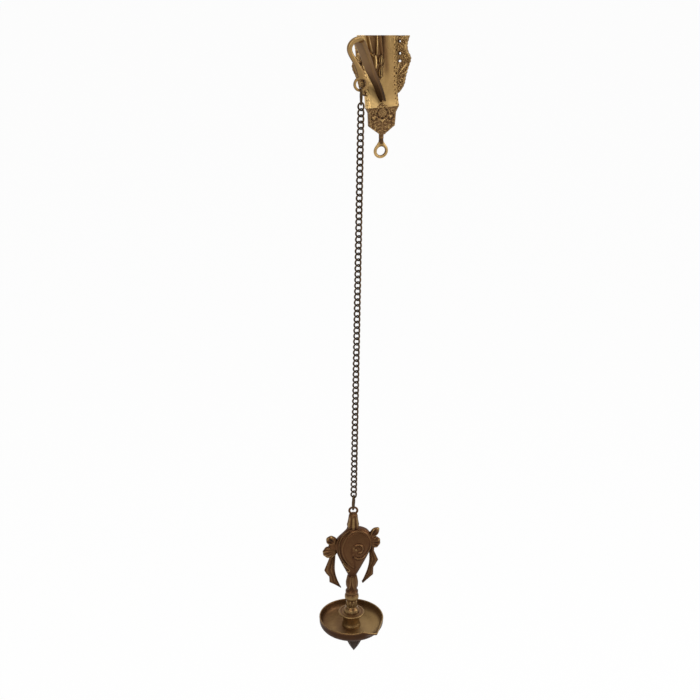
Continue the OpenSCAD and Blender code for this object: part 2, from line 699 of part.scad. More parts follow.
// The dish's wall: floor, round corner, then a wall that leans out to the rim
function dish_side(inner) = let (r = dish_corner + (inner ? 0 : dish_t), drop = inner ? 0 : dish_t,
    top_r = dish_r - (inner ? dish_t * 0.7 : 0), mid = dish_r - dish_t - dish_corner - 1)
  concat([for (i = [0:6]) let (a = -90 + 12 * i) [mid + r * cos(a), floor_z - drop + r + r * sin(a)]],
    [[top_r, rim_z]]);

// The spout's outline narrows from the dish's wall to its round lip
module spout_outline(grow) {
  lip = spout_reach - spout_half_w;
  translate([lip, 0]) circle(r = spout_half_w + grow);
  polygon([[lip, spout_half_w + grow], [dish_r * 0.6, dish_r * 0.42 + grow],
    [dish_r * 0.6, -dish_r * 0.42 - grow], [lip, -spout_half_w - grow]]);
}

module oil_dish() {
  spout_rise = atan((dish_depth + dish_t - 3.4) / (spout_reach - dish_r * 0.6));
  color(brass) on_lamp() rotate([0, 0, spout_turn - 90]) difference() {
    union() {
      rotate_extrude() polygon(concat([[0, under_z]], dish_side(false), [[0, rim_z]]));
      difference() {
        translate([0, 0, under_z]) linear_extrude(rim_z - under_z) spout_outline(0);
        translate([dish_r * 0.6, -far / 2, under_z]) rotate([0, -spout_rise, 0]) translate([0, 0, -far]) cube(far);
      }
    }
    rotate_extrude() polygon(concat([[0, floor_z]], dish_side(true), [[dish_r - dish_t * 0.7, rim_z + 1], [0, rim_z + 1]]));
    translate([dish_r * 0.6, 0, floor_z]) rotate([0, -spout_rise, 0]) translate([-dish_r * 0.6, 0, 0])
      linear_extrude(far) spout_outline(-dish_t * 0.7);
    translate([0, 0, under_z - 1]) cylinder(r = rod_r + fit_gap, h = dish_t + 2);
  }
}

module tie_rod() {
  color(brass) on_lamp() translate([0, 0, rod_low_z]) cylinder(r = rod_r, h = rod_top_z - rod_low_z);
}

module finial() {
  grooves = 10;
  groove_at = 0.45;
  color(dark_brass) on_lamp() difference() {
    translate([finial_x, 0, 0]) rotate_extrude() polygon(concat([[0, under_z]],
      [for (i = [0:9]) let (q = i / 10) [finial_r * (1 - q * q), under_z - finial_l * q]],
      [[0, tip_z]]));
    translate([finial_x, 0, 0]) for (k = [0:grooves - 1]) rotate([0, 0, 360 * k / grooves])
      translate([finial_r * (1 - groove_at * groove_at) + 0.45, 0, under_z - finial_l * groove_at])
        rotate([0, atan(2 * groove_at * finial_r / finial_l), 0])
          cylinder(r = 0.9, h = finial_l * 0.7, center = true);
    translate([0, 0, rod_low_z - 0.5]) cylinder(r = rod_r + fit_gap, h = under_z - rod_low_z + 2);
  }
}

wall_rib();
back_plate();
foot_panel();
tail_eye();
left_wing();
right_wing();
centre_relief();
lotus_bud();
brace_arm();
crook_hook();
plate_rivets();
arm_rivets();
top_connector();
for (run = [1:chain_runs])
  chain_run(run);
bottom_connector();
hanger_eye();
conch_shell();
left_sash();
right_sash();
sash_pins();
leaf_baluster();
bead_ring();
carved_neck();
base_flange();
oil_dish();
tie_rod();
finial();
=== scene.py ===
import math
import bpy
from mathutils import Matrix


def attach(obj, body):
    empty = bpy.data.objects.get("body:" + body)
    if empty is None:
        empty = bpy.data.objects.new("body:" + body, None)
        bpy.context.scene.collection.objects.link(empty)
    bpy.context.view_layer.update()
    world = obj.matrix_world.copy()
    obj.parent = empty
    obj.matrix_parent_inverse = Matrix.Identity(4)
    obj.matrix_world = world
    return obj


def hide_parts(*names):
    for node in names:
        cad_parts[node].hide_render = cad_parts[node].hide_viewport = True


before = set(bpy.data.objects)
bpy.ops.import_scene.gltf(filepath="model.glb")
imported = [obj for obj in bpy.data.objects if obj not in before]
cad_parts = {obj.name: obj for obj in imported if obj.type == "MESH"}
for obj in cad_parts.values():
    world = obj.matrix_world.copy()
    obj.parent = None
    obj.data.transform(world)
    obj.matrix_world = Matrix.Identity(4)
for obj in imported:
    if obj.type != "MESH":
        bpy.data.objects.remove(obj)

from types import SimpleNamespace

import bpy
import numpy as np
from bpy.props import FloatProperty, FloatVectorProperty, PointerProperty
from mathutils import Matrix, Vector

bl_info = {
    "name": "Hanging chain oil lamp",
    "version": (1, 0, 0),
    "blender": (4, 5, 0),
    "location": "View3D > Sidebar > Oil Lamp",
    "description": "Dresses the wall bracket, the curb chain and the conch lamp in antique brass",
    "category": "Add Mesh",
}

MM = 0.001
TURN = 2 * math.pi
BACK = np.array([0, 1.0, 0])
CREASE = math.radians(50.0)
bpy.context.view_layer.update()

# Bracket, in millimetres: rise of the hook's eye over the fold, drop of the foot panel, start of the wings
EYE_RISE, FOOT_DROP, WING_FOOT = 31.05, 27, 12
# Chain: its runs and the links in each; the connecting links' pitch, bend and wire; the play between wires
RUNS, RUN_LINKS = 14, 5
CONNECTOR_LENGTH, CONNECTOR_BEND, CONNECTOR_WIRE = 16.45, 3.2, 0.95
WIRE_GAP, LINK_JOIN = 0.2, 0.4
# Eyes at the chain's ends: the wire's radius in the hook's eye and the lamp's, and the lamp eye's own radius
HOOK_EYE_WIRE, LAMP_EYE_WIRE, LAMP_EYE_REACH = 1.15, 1.05, 3.6


def length(label, words, default):
    """A length setting given in millimetres and kept in metres."""
    return FloatProperty(name=label, description=words, default=default * MM, unit="LENGTH", precision=5)


def angle(label, words, default):
    """An angle setting given in degrees and kept in radians."""
    default = math.radians(default)
    return FloatProperty(name=label, description=words, default=default, unit="ROTATION", subtype="ANGLE")


def colour(label, words, default):
    """A linear colour setting."""
    limits = {"min": 0.0, "max": 1.0}
    return FloatVectorProperty(name=label, description=words, default=default, subtype="COLOR", **limits)


class LampSizes(bpy.types.PropertyGroup):
    """Sizes of the lamp, taken from its solids where they have them."""

    plate_length: length("Plate length", "Length of the plate along its slope", 67.5)
    plate_low: length("Plate lower half width", "Half the plate's width at its lower edge", 17.1)
    plate_top: length("Plate upper half width", "Half the plate's width at its upper edge", 20.8)
    plate_thick: length("Plate thickness", "Thickness of the plate", 3.0)
    plate_lean: angle("Plate lean", "Angle that the plate leans back", 13.0)
    fold_out: length("Fold distance", "Distance from the wall to the plate's lower edge", 25.0)
    fold_drop: length("Fold drop", "Drop from the wall hole to the plate's lower edge", 52.0)
    relief_x: length("Relief offset", "Offset of the relief's middle line, to the right", -1.6)
    foot_half: length("Foot half width", "Half the width of the foot panel", 14.2)
    wing_reach: length("Wing reach", "Middle reach of a wing from the plate's side", 11.8)
    wing_sweep_low: angle("Wing sweep, low", "Angle that a wing sweeps forward in its lower half", 20.0)
    wing_sweep_top: angle("Wing sweep, top", "Angle that a wing sweeps forward at its upper end", 56.0)
    hook_x: length("Hook offset", "Distance of the chain to the left of the plate's middle", 30.8)
    hook_y: length("Hook distance", "Distance of the chain from the wall", 45.0)
    hook_eye: length("Hook eye radius", "Middle radius of the hook's eye", 6.1)
    crook_bar: length("Crook bar radius", "Radius of the crook's bar", 2.5)
    tail_hole: length("Tail hole radius", "Radius of the hole in the tail eye", 4.45)
    link_pitch: length("Link pitch", "Distance from one link to the next", 6.15)
    link_wire: length("Link wire radius", "Radius of the link's wire", 0.75)
    link_half: length("Link half width", "Half the width of a link", 2.5)
    chain_turn: angle("Chain turn", "Angle that the chain and the lamp are turned about the chain", -18.0)
    low_turn: angle("Lower link turn", "Angle that the lower connecting link is turned from edge-on", -15.0)
    conch_height: length("Conch height", "Height of the conch", 58.5)
    conch_left: length("Conch left reach", "Reach of the conch to the left", 17.4)
    conch_right: length("Conch right reach", "Reach of the conch to the right", 20.3)
    conch_depth: length("Conch half depth", "Half the depth of the conch", 8.5)
    dish_radius: length("Dish radius", "Radius of the dish at its rim", 35.3)
    dish_depth: length("Dish depth", "Depth of the dish inside", 10.5)
    spout_reach: length("Spout reach", "Reach of the spout's lip from the dish's axis", 45.0)
    spout_turn: angle("Spout turn", "Direction of the spout from the lamp's front", 35.0)
    finial_length: length("Finial length", "Length of the finial", 33.0)
    finial_radius: length("Finial radius", "Radius of the finial at its top", 11.5)
    finial_x: length("Finial offset", "Distance that the finial sits off the lamp's axis, to the right", 3.4)


class LampColours(bpy.types.PropertyGroup):
    """Colours of the metal and of the stage."""

    # The dark colours also serve as painted shade, and the rubbed colours as painted highlights, where a
    # piece paints light into its finish
    bright: colour("Rubbed brass", "Brass where hands and cloths have rubbed it", (0.66, 0.44, 0.18))
    brass: colour("Brass", "Plain worn brass", (0.36, 0.225, 0.088))
    olive: colour("Olive brass", "Brass with a thin olive patina", (0.32, 0.205, 0.085))
    brown: colour("Brown patina", "Brown patina on the castings", (0.16, 0.085, 0.036))
    umber: colour("Umber patina", "Deep brown patina on the conch and the dish", (0.095, 0.041, 0.018))
    dark: colour("Dark patina", "Dark patina in the recesses", (0.030, 0.017, 0.010))
    chain: colour("Chain bronze", "Dark bronze of the chain's wire", (0.085, 0.052, 0.026))
    stage: colour("Stage", "Pale floor", (0.90, 0.90, 0.89))


def sizes():
    """Every size in millimetres, and every angle in radians, by name."""
    group = bpy.context.scene.lamp_sizes
    found = {}
    for name, prop in group.bl_rna.properties.items():
        if prop.type == "FLOAT":
            found[name] = getattr(group, name) / (MM if prop.unit == "LENGTH" else 1.0)
    return SimpleNamespace(**found)


def unit(v):
    """Vectors of length one."""
    return v / np.linalg.norm(v, axis=-1, keepdims=True)


def ease(low, high, x):
    """A smooth step from zero at low to one at high, whichever of the two is greater."""
    t = np.clip((x - low) / (high - low), 0, 1)
    return t * t * (3 - 2 * t)


def hill(x, wide):
    """A bell that is one at zero and falls off over a width."""
    return np.exp(-np.square(x / wide))


def wave(turn):
    """A cosine wave between zero and one."""
    return 0.5 + 0.5 * np.cos(turn)


def polar(x, y):
    """Distance and direction of points from the origin of a plane."""
    return np.hypot(x, y), np.arctan2(y, x)


def signed_power(x, power):
    """A power of the size of a value, with the value's sign."""
    return np.sign(x) * np.abs(x) ** power


def turns(count):
    """Evenly spaced angles round a full turn."""
    return np.arange(count) * TURN / count


def profile(at, *pairs):
    """Values joined by straight lines, from pairs of a rising place and its value."""
    places, values = zip(*pairs)
    return np.interp(at, places, values)


def stack(*parts):
    """Coordinates of any matching shapes as points."""
    return np.stack(np.broadcast_arrays(*parts), -1).astype(float)


def chords(points):
    """Length along a run of points, from its first to each of them."""
    return np.concatenate([[0], np.cumsum(np.linalg.norm(np.diff(points, axis=0), axis=1))])


def sampled(points, count):
    """A smooth line through a few points, evenly sampled along its length: a natural cubic spline by chord
    length."""
    points = np.asarray(points, float)
    chord = chords(points)
    step = np.diff(chord)
    size = len(points)
    system = np.eye(size)
    right = np.zeros_like(points)
    rows = np.arange(1, size - 1)
    system[rows, rows - 1] = step[:-1]
    system[rows, rows] = 2 * (step[:-1] + step[1:])
    system[rows, rows + 1] = step[1:]
    slope = np.diff(points, axis=0) / step[:, None]
    right[1:-1] = 6 * np.diff(slope, axis=0)
    bend = np.linalg.solve(system, right)
    at = np.linspace(0, chord[-1], count)
    k = np.clip(np.searchsorted(chord, at, side="right") - 1, 0, size - 2)
    h, a, b = step[k][:, None], (chord[k + 1] - at)[:, None], (at - chord[k])[:, None]
    curve = (bend[k] * a**3 + bend[k + 1] * b**3) / (6 * h)
    return curve + (points[k] / h - bend[k] * h / 6) * a + (points[k + 1] / h - bend[k + 1] * h / 6) * b


def nearest(x, z, line):
    """Distance in a plane from each point to a sampled line, and the share of the line's length there."""
    gap = np.hypot(x[..., None] - line[:, 0], z[..., None] - line[:, 1])
    return gap.min(-1), gap.argmin(-1) / (len(line) - 1)


def skin(grid, wear_and_painted_light, loop=False):
    """A tube through rings of points: row by row along its length, closed round each ring and, with loop,
    end to end. Without loop each end is closed by a fan to its middle."""
    rows, around = grid.shape[:2]
    here = np.arange(rows * around).reshape(rows, around)
    side = np.roll(here, -1, 1)
    wear_and_painted_light = np.broadcast_to(wear_and_painted_light, (rows, around)).ravel()
    if loop:
        quads = np.stack([here, side, np.roll(side, -1, 0), np.roll(here, -1, 0)], -1).reshape(-1, 4)
        return grid.reshape(-1, 3), quads, np.zeros((0, 3), int), wear_and_painted_light
    quads = np.stack([here[:-1], side[:-1], side[1:], here[1:]], -1).reshape(-1, 4)
    ends = np.stack([grid[0].mean(0), grid[-1].mean(0)])
    first, last = np.full(around, rows * around), np.full(around, rows * around + 1)
    fans = [np.stack([side[0], here[0], first], -1), np.stack([here[-1], side[-1], last], -1)]
    wear_and_painted_light = np.concatenate([wear_and_painted_light, [wear_and_painted_light[:around].mean(), wear_and_painted_light[-around:].mean()]])
    return np.concatenate([grid.reshape(-1, 3), ends]), quads, np.concatenate(fans), wear_and_painted_light


def bar(path, wide, thick, level, sides, wear_and_painted_light, loop=False, power=2.0):
    """A bar along a path. Its section is a rounded box, x to the power p plus y to the power p, wide across
    the level direction and thick along it."""
    path = np.asarray(path, float)
    if loop:
        along = unit(np.roll(path, -1, 0) - np.roll(path, 1, 0))
    else:
        along = unit(np.gradient(path, axis=0))
    across = unit(np.cross(along, level))
    out = np.cross(across, along)
    turn = turns(sides)
    c, n = signed_power(np.cos(turn), 2 / power), signed_power(np.sin(turn), 2 / power)
    wide, thick = (np.broadcast_to(size, len(path))[:, None, None] for size in (wide, thick))
    grid = path[:, None] + wide * c[None, :, None] * across[:, None]
    grid = grid + thick * n[None, :, None] * out[:, None]
    return skin(grid, wear_and_painted_light, loop)


def lathe(radius, height, around, wear_and_painted_light):
    """A turned form: each row has its height, and its radius may change with the angle."""
    turn = turns(around)
    both = (np.asarray(values, float) for values in (radius, height))
    radius, height = (values[:, None] if values.ndim == 1 else values for values in both)
    return skin(stack(radius * np.cos(turn), radius * np.sin(turn), height), wear_and_painted_light)


def ball(place, reach, around=40, rows=28, swell=None, wear_and_painted_light=1.0):
    """A ball with three half sizes; swell, if given, is how much each point of the unit ball is pushed
    out."""
    up = np.linspace(0.02, math.pi - 0.02, rows)[:, None]
    turn = turns(around)
    grid = stack(np.sin(up) * np.cos(turn), np.sin(up) * np.sin(turn), np.cos(up) + 0 * turn)
    if swell is not None:
        grid = grid * swell(grid)[..., None]
    return skin(grid * np.asarray(reach) + np.asarray(place), wear_and_painted_light)


def sheet(front, back, wear_and_painted_light, keep=None):
    """Two grids of points, front and back, as one closed plate. Cells where keep is false are open right
    through, with walls round them."""
    rows, cols = front.shape[:2]
    here = np.arange(rows * cols).reshape(rows, cols)
    keep = np.ones((rows - 1, cols - 1), bool) if keep is None else keep
    a, b, c, d = here[:-1, :-1], here[1:, :-1], here[1:, 1:], here[:-1, 1:]
    under = rows * cols
    quads = [np.stack([a, b, c, d], -1)[keep], np.stack([a, d, c, b], -1)[keep] + under]
    pad = np.pad(keep, 1)
    sides = [(pad[1:-1, :-2], b, a), (pad[2:, 1:-1], c, b), (pad[1:-1, 2:], d, c), (pad[:-2, 1:-1], a, d)]
    for neighbour, p, q in sides:
        edge = keep & ~neighbour
        quads.append(np.stack([p[edge], q[edge], q[edge] + under, p[edge] + under], -1))
    points = np.concatenate([front.reshape(-1, 3), back.reshape(-1, 3)])
    wear_and_painted_light = np.tile(np.broadcast_to(wear_and_painted_light, (rows, cols)).ravel(), 2)
    used, quads = np.unique(np.concatenate(quads), return_inverse=True)
    return points[used], quads.reshape(-1, 4), np.zeros((0, 3), int), wear_and_painted_light[used]


def outward(shell):
    """The same closed shell with its faces turned outward: its signed volume, a sum of corner products, is
    positive."""
    points, quads, tris, wear_and_painted_light = shell
    corners = np.concatenate([quads[:, [0, 1, 2]], quads[:, [0, 2, 3]], tris])
    p, q, r = (points[corners[:, k]] for k in range(3))
    if np.einsum("ij,ij->", p, np.cross(q, r)) < 0:
        quads, tris = quads[:, ::-1], tris[:, ::-1]
    return points, quads, tris, wear_and_painted_light


def moved(shell, place):
    """A shell with its points carried by a function."""
    return (place(shell[0]), *shell[1:])


def mark_wear_and_painted_light(mesh, wear_and_painted_light):
    """Keeps how far each point is rubbed, from zero to one, as the attribute that the finishes read.
    On some pieces the same value also holds painted shade and painted highlights.
    """
    rubbed = mesh.attributes.new("wear_and_painted_light", "FLOAT", "POINT")
    rubbed.data.foreach_set("value", np.clip(wear_and_painted_light, 0, 1).astype(np.float32))


def add_object(name, data):
    """A new object in the scene that shows the given data."""
    made = bpy.data.objects.new(name, data)
    bpy.context.scene.collection.objects.link(made)
    return made


def add_piece(name, shells, body, nodes, look):
    """One mesh object from closed shells in millimetres, riding on a body in place of the named solids."""
    points, quads, tris, wear_and_painted_light, start = [], [], [], [], 0
    for shell in map(outward, shells):
        points.append(shell[0])
        quads.append(shell[1] + start)
        tris.append(shell[2] + start)
        wear_and_painted_light.append(shell[3])
        start += len(shell[0])
    mesh = bpy.data.meshes.new(name)
    faces = np.concatenate(quads).tolist() + np.concatenate(tris).tolist()
    mesh.from_pydata((np.concatenate(points) * MM).tolist(), [], faces)
    mark_wear_and_painted_light(mesh, np.concatenate(wear_and_painted_light))
    mesh.polygons.foreach_set("use_smooth", np.ones(len(faces), bool))
    mesh.set_sharp_from_angle(angle=CREASE)
    mesh.materials.append(finish(look))
    mesh.validate()
    piece = add_object(name, mesh)
    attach(piece, body)
    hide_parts(*nodes)


class Socket:
    """A shader output that takes part in ordinary arithmetic."""

    def __init__(self, tree, out):
        self.tree, self.out = tree, out

    def node(self, kind, feed, output=0, **options):
        """Adds a node of any kind, sets its options, feeds its named or numbered inputs and returns an
        output."""
        made = self.tree.nodes.new(kind)
        for key, value in options.items():
            setattr(made, key, value)
        for key, value in feed.items():
            if isinstance(value, Socket):
                self.tree.links.new(value.out, made.inputs[key])
            else:
                made.inputs[key].default_value = value
        return Socket(self.tree, made.outputs[output])

    def math(self, operation, first, second):
        """A Math node of two values."""
        return self.node("ShaderNodeMath", {0: first, 1: second}, operation=operation)

    def __add__(self, other):
        return self.math("ADD", self, other)

    def __radd__(self, other):
        return self.math("ADD", other, self)

    def __sub__(self, other):
        return self.math("SUBTRACT", self, other)

    def __rsub__(self, other):
        return self.math("SUBTRACT", other, self)

    def __mul__(self, other):
        return self.math("MULTIPLY", self, other)

    def __rmul__(self, other):
        return self.math("MULTIPLY", other, self)

    def ease(self, low, high):
        """Zero below low, one above high, and a smooth rise between."""
        feed = {"Value": self, "From Min": low, "From Max": high}
        return self.node("ShaderNodeMapRange", feed, interpolation_type="SMOOTHSTEP")

    def ray(self, kind):
        """One for rays of a kind, such as Camera, and zero for others."""
        return self.node("ShaderNodeLightPath", {}, output=f"Is {kind} Ray")

    def ramp(self, stops):
        """A colour by the value: pairs of place and colour."""
        made = self.node("ShaderNodeValToRGB", {0: self})
        band = made.out.node.color_ramp
        while len(band.elements) < len(stops):
            band.elements.new(0.5)
        for element, (place, tint) in zip(band.elements, stops):
            element.position = place
            element.color = (*tint, 1.0)
        return made


def new_material(name):
    """A new material, its main shader and a start for adding nodes."""
    material = bpy.data.materials.new(name)
    material.use_nodes = True
    tree = material.node_tree
    return material, tree.nodes["Principled BSDF"], Socket(tree, None)


def metal(name, stops, rough, mottle, grain):
    """Old cast metal. Dark patina lies in the recesses, which the attribute marks, and the raised places are
    rubbed; on some pieces the same attribute also holds painted shade and painted highlights. Clouds a few
    millimetres wide mottle both, and a fine grain roughens the surface."""
    material, shader, start = new_material(name)
    place = start.node("ShaderNodeTexCoord", {}, output="Object")
    wear_and_painted_light = start.node("ShaderNodeAttribute", {}, output="Fac", attribute_name="wear_and_painted_light")

    def noise(scale, detail, harshness):
        """Clouds of noise, smaller with a greater scale."""
        feed = {"Vector": place, "Scale": scale, "Detail": detail, "Roughness": harshness}
        return start.node("ShaderNodeTexNoise", feed)

    clouds = noise(140.0, 5.0, 0.62) - 0.5
    specks = noise(900.0, 4.0, 0.7) - 0.5
    rubbed = wear_and_painted_light + clouds * mottle + specks * (mottle * 0.45)
    shine = rough[0] + (rough[1] - rough[0]) * rubbed.ease(0.0, 0.9) + clouds * 0.12 + specks * 0.1
    height = noise(420.0, 6.0, 0.65) * 0.7 + noise(2200.0, 3.0, 0.55) * 0.3
    rise = start.node("ShaderNodeBump", {"Height": height, "Strength": grain, "Distance": 0.0006})
    for key, value in (("Base Color", rubbed.ramp(stops)), ("Roughness", shine), ("Normal", rise)):
        start.tree.links.new(value.out, shader.inputs[key])
    shader.inputs["Metallic"].default_value = 1.0
    return material


# Each finish: colours from the dark recesses and painted shade up to the rubbed places and painted
# highlights, roughness in both, mottling and grain
FINISHES = {
    "rubbed_brass": (((0.28, "brown"), (0.62, "brass"), (0.95, "bright")), (0.58, 0.47), 0.25, 0.25),
    "carved_brass": (((0.34, "brown"), (0.72, "olive"), (1.0, "bright")), (0.58, 0.42), 0.4, 0.25),
    "stem_brass": (((0.34, "umber"), (0.72, "brown"), (1.0, "olive")), (0.55, 0.40), 0.4, 0.25),
    "conch_brown": (((0.45, "umber"), (0.75, "brown"), (1.0, "olive")), (0.52, 0.44), 0.25, 0.12),
    "strut_brown": (((0.45, "brown"), (1.0, "olive")), (0.50, 0.42), 0.25, 0.12),
    "chain_wire": (((0.55, "chain"), (1.0, "brown")), (0.50, 0.38), 0.6, 0.25),
    "dish_brown": (((0.30, "umber"), (0.70, "brown"), (1.0, "olive")), (0.58, 0.48), 0.3, 0.14),
}


def finish(name):
    """One of the lamp's finishes, made the first time it is asked for."""
    if name in bpy.data.materials:
        return bpy.data.materials[name]
    stops, rough, mottle, grain = FINISHES[name]
    tints = bpy.context.scene.lamp_colours
    stops = [(place, getattr(tints, tint)) for place, tint in ((0.0, "dark"), *stops)]
    return metal(name, stops, rough, mottle, grain)


def plate_half(s, v):
    """Half the plate's width at a height along its slope: straight, then flaring as the power 1.3."""
    straight = 22.0
    share = np.clip((v - straight) / (s.plate_length - straight), 0, 1)
    return s.plate_low + (s.plate_top - s.plate_low) * share**1.3


def on_plate(s, x, y, v):
    """Points in the plate's frame, x across, y back and v up the slope, carried to the lamp's frame."""
    c, n = math.cos(s.plate_lean), math.sin(s.plate_lean)
    return stack(x, y * c + v * n - s.fold_out, v * c - y * n - s.fold_drop)


def top_rise(s, x, v):
    """How far the upper edge of the plate and the relief is drawn up toward the left."""
    return 1.5 * (1 - x / s.plate_top) * ease(50.0, s.plate_length, v)


def plate_shell(s):
    """The plate: a raised border along each side, punched with a zigzag of marks, and a hollow sweep forward
    where the lower edge meets the foot panel. It is dark in the marks; it carries painted shade beside the
    relief, painted highlights at its lower corners and painted light over its left half. The upper edge rises
    a little to the left."""
    t = np.linspace(-1, 1, 161)[:, None]
    v = np.linspace(0, s.plate_length, 260)[None]
    half = plate_half(s, v)
    x = t * (1.5 - 0.5 * t * t) * half
    edge = half - np.abs(x)
    v = v + top_rise(s, x, v)
    strip = ease(0.0, 0.5, edge) * (1 - ease(3.0, 4.0, edge))
    step = v + 0.6 * np.sin(0.9 * v) + 0.4 * np.sin(2.3 * v) + 0.9 * np.sign(x)
    pitch = 4.3
    lean = step + 0.5 * (edge - 1.6)
    outer = np.hypot(((lean / pitch) % 1 - 0.5) * pitch * 1.2, (edge - 1.0) * 0.9)
    inner = np.hypot(((lean / pitch + 0.45) % 1 - 0.5) * pitch * 0.9, (edge - 2.9) * 1.5)
    stitch = np.clip(hill(outer, 0.62) + hill(inner, 0.62), 0, 1)
    cove = 1.5 * np.clip(1 - v / 9.0, 0, 1) ** 2
    front = -(0.55 * strip - 0.8 * stitch * strip + cove)
    low = s.plate_thick * math.tan(s.plate_lean) * (1 - v / s.plate_length)
    # Painted shade in a strip along the relief's right side, from a little above its foot upward
    beside = hill(x - 6.6, 3.2) * ease(24.0, 40.0, v)
    # Painted highlights at the lower corners, where the hollow sweep turns forward
    wear_and_painted_light = 0.66 - 0.90 * stitch - 0.36 * beside + 0.12 * hill(v - 4.0, 6.0) * ease(4.0, 9.0, np.abs(x))
    # Painted light over the left half, lifting the shade and reflection of the brace arm
    wear_and_painted_light = wear_and_painted_light + 0.28 * ease(0.0, -6.0, x)
    return sheet(on_plate(s, x, front, v), on_plate(s, x, s.plate_thick + 0 * x, v + low), wear_and_painted_light)


def foot_half(s, drop):
    """Half the foot panel's width at a drop below the fold: shoulders, sides that draw in a little and a
    blunt point."""
    return profile(drop, (0, s.plate_low), (5.5, s.foot_half), (19, s.foot_half - 0.9), (FOOT_DROP, 2.8))


def foot_carving(u, drop, rim):
    """Carving of the foot panel by the offset from its middle line and the drop: a pointed-arch medallion
    with an oval seed body and a moat, a flower and a curl at each side, a small chevron under it, leaves
    whose veins fall to the middle and a rim. Gives the heights over the ground and how far they are
    rubbed."""
    a = np.abs(u)
    arch_half, arch_foot = 7.2, 5.0
    above = ((a / arch_half) ** 1.2 + (np.clip(arch_foot - drop, 0, None) / 8.6) ** 1.2) ** (1 / 1.2)
    arch = np.where(drop < arch_foot, above, np.hypot(a / arch_half, (drop - arch_foot) / 7.4))
    ring = hill(arch - 1.0, 0.10) * (0.75 + 0.25 * np.sin(2.6 * u + 1.9 * drop))
    moat = hill(arch - 0.80, 0.11) * (0.55 + 0.45 * np.cos(9 * np.arctan2(u, drop - arch_foot)))
    seed = ease(0.72, 0.58, arch) * (0.55 + 0.28 * np.sin(2.4 * u + 0.8) * np.sin(2.0 * drop))
    bloom, petal = polar(a - 8.8, drop - 9.6)
    rose = hill(bloom, 2.1) * wave(3 * petal + 0.9) + 0.8 * hill(bloom, 0.8)
    shade = hill(bloom - 2.9, 0.6)
    curl, wind = polar(a - 10.8, drop - 4.2)
    snail = hill(curl, 3.4) * wave(TURN * curl / 2.6 - wind)
    chevron = hill(drop - 14.2 + 1.2 * a, 0.9) * hill(a, 2.2)
    stalk = hill(u, 0.7) * ease(14.5, 16.5, drop)
    vein = hill(((drop - 15.4 - 0.30 * a + 1.8) % 3.6) - 1.8, 0.75)
    vein = vein * ease(1.0, 2.2, a) * ease(12.6, 14.2, drop + 0.1 * a)
    dot = np.hypot(((a + 0.6) % 4.2) - 2.1, ((drop - 13.6 - 0.3 * a) % 3.6) - 1.8)
    pits = hill(dot, 1.0) * ease(13.0, 15.0, drop) * ease(1.8, 2.8, a)
    low_leaf = hill(np.hypot(a - 6.6, 0.8 * (drop - 19.6)), 1.6)
    rough = np.sin(2.3 * u + 1.1 * drop + 1.7 * np.sin(0.9 * drop)) * np.sin(2.9 * drop - 1.3 * u)
    height = 0.45 + 0.75 * ring + 0.6 * seed + rose + 0.6 * snail + 0.9 * chevron + 0.3 * stalk
    height = height + 0.55 * vein + 0.6 * low_leaf + 0.4 * rim
    height = np.clip(height - 0.75 * moat - 0.5 * shade - 0.65 * pits + 0.20 * rough, 0, 1.5)
    return height, 0.06 + 0.56 * height + 0.15 * rose + 0.2 * chevron


def foot_shell(s):
    """The foot panel: its carving over a flat ground, falling off at the edge. Its upper edge rises to the
    point of the carved arch."""
    t = np.linspace(-1, 1, 181)[:, None]
    top = 0.15 - 4.15 * hill(t + 0.03, 0.30)
    drop = top + (FOOT_DROP - top) * np.linspace(0, 1, 166)[None]
    half = foot_half(s, drop)
    x = t * half
    height, wear_and_painted_light = foot_carving(x + 0.4, drop, hill(half - np.abs(x) - 0.8, 0.7))
    front = -s.fold_out - 0.7 - height * ease(0, 0.6, half - np.abs(x) + 0.25)
    back = np.full_like(x, -s.fold_out + 4.0)
    return sheet(stack(x, front, -s.fold_drop - drop), stack(x, back, -s.fold_drop - drop), wear_and_painted_light)


# Each fold of the relief: its line as offset and height on the plate, its width, its height and its shine,
# the brightness of its ridge: rubbed brass with a painted highlight, kept low on the two right folds as
# painted shade
FOLDS = (
    (((-10.2, 70), (-8.8, 62), (-6.6, 53.5)), 2.1, 3.2, 0.62),
    (((-9.6, 54.5), (-7.2, 51.2), (-5.0, 49.0)), 0.8, 3.6, 0.9),
    (((-3.6, 49.6), (-3.4, 46), (-4.0, 38)), 1.9, 4.2, 1.0),
    (((-0.4, 70), (-0.8, 60), (-2.0, 51)), 1.2, 3.8, 0.9),
    (((3.4, 70), (3.6, 58), (4.4, 48)), 1.7, 2.6, 0.30),
    (((6.8, 70), (6.6, 56), (5.6, 42)), 1.2, 2.2, 0.18),
)


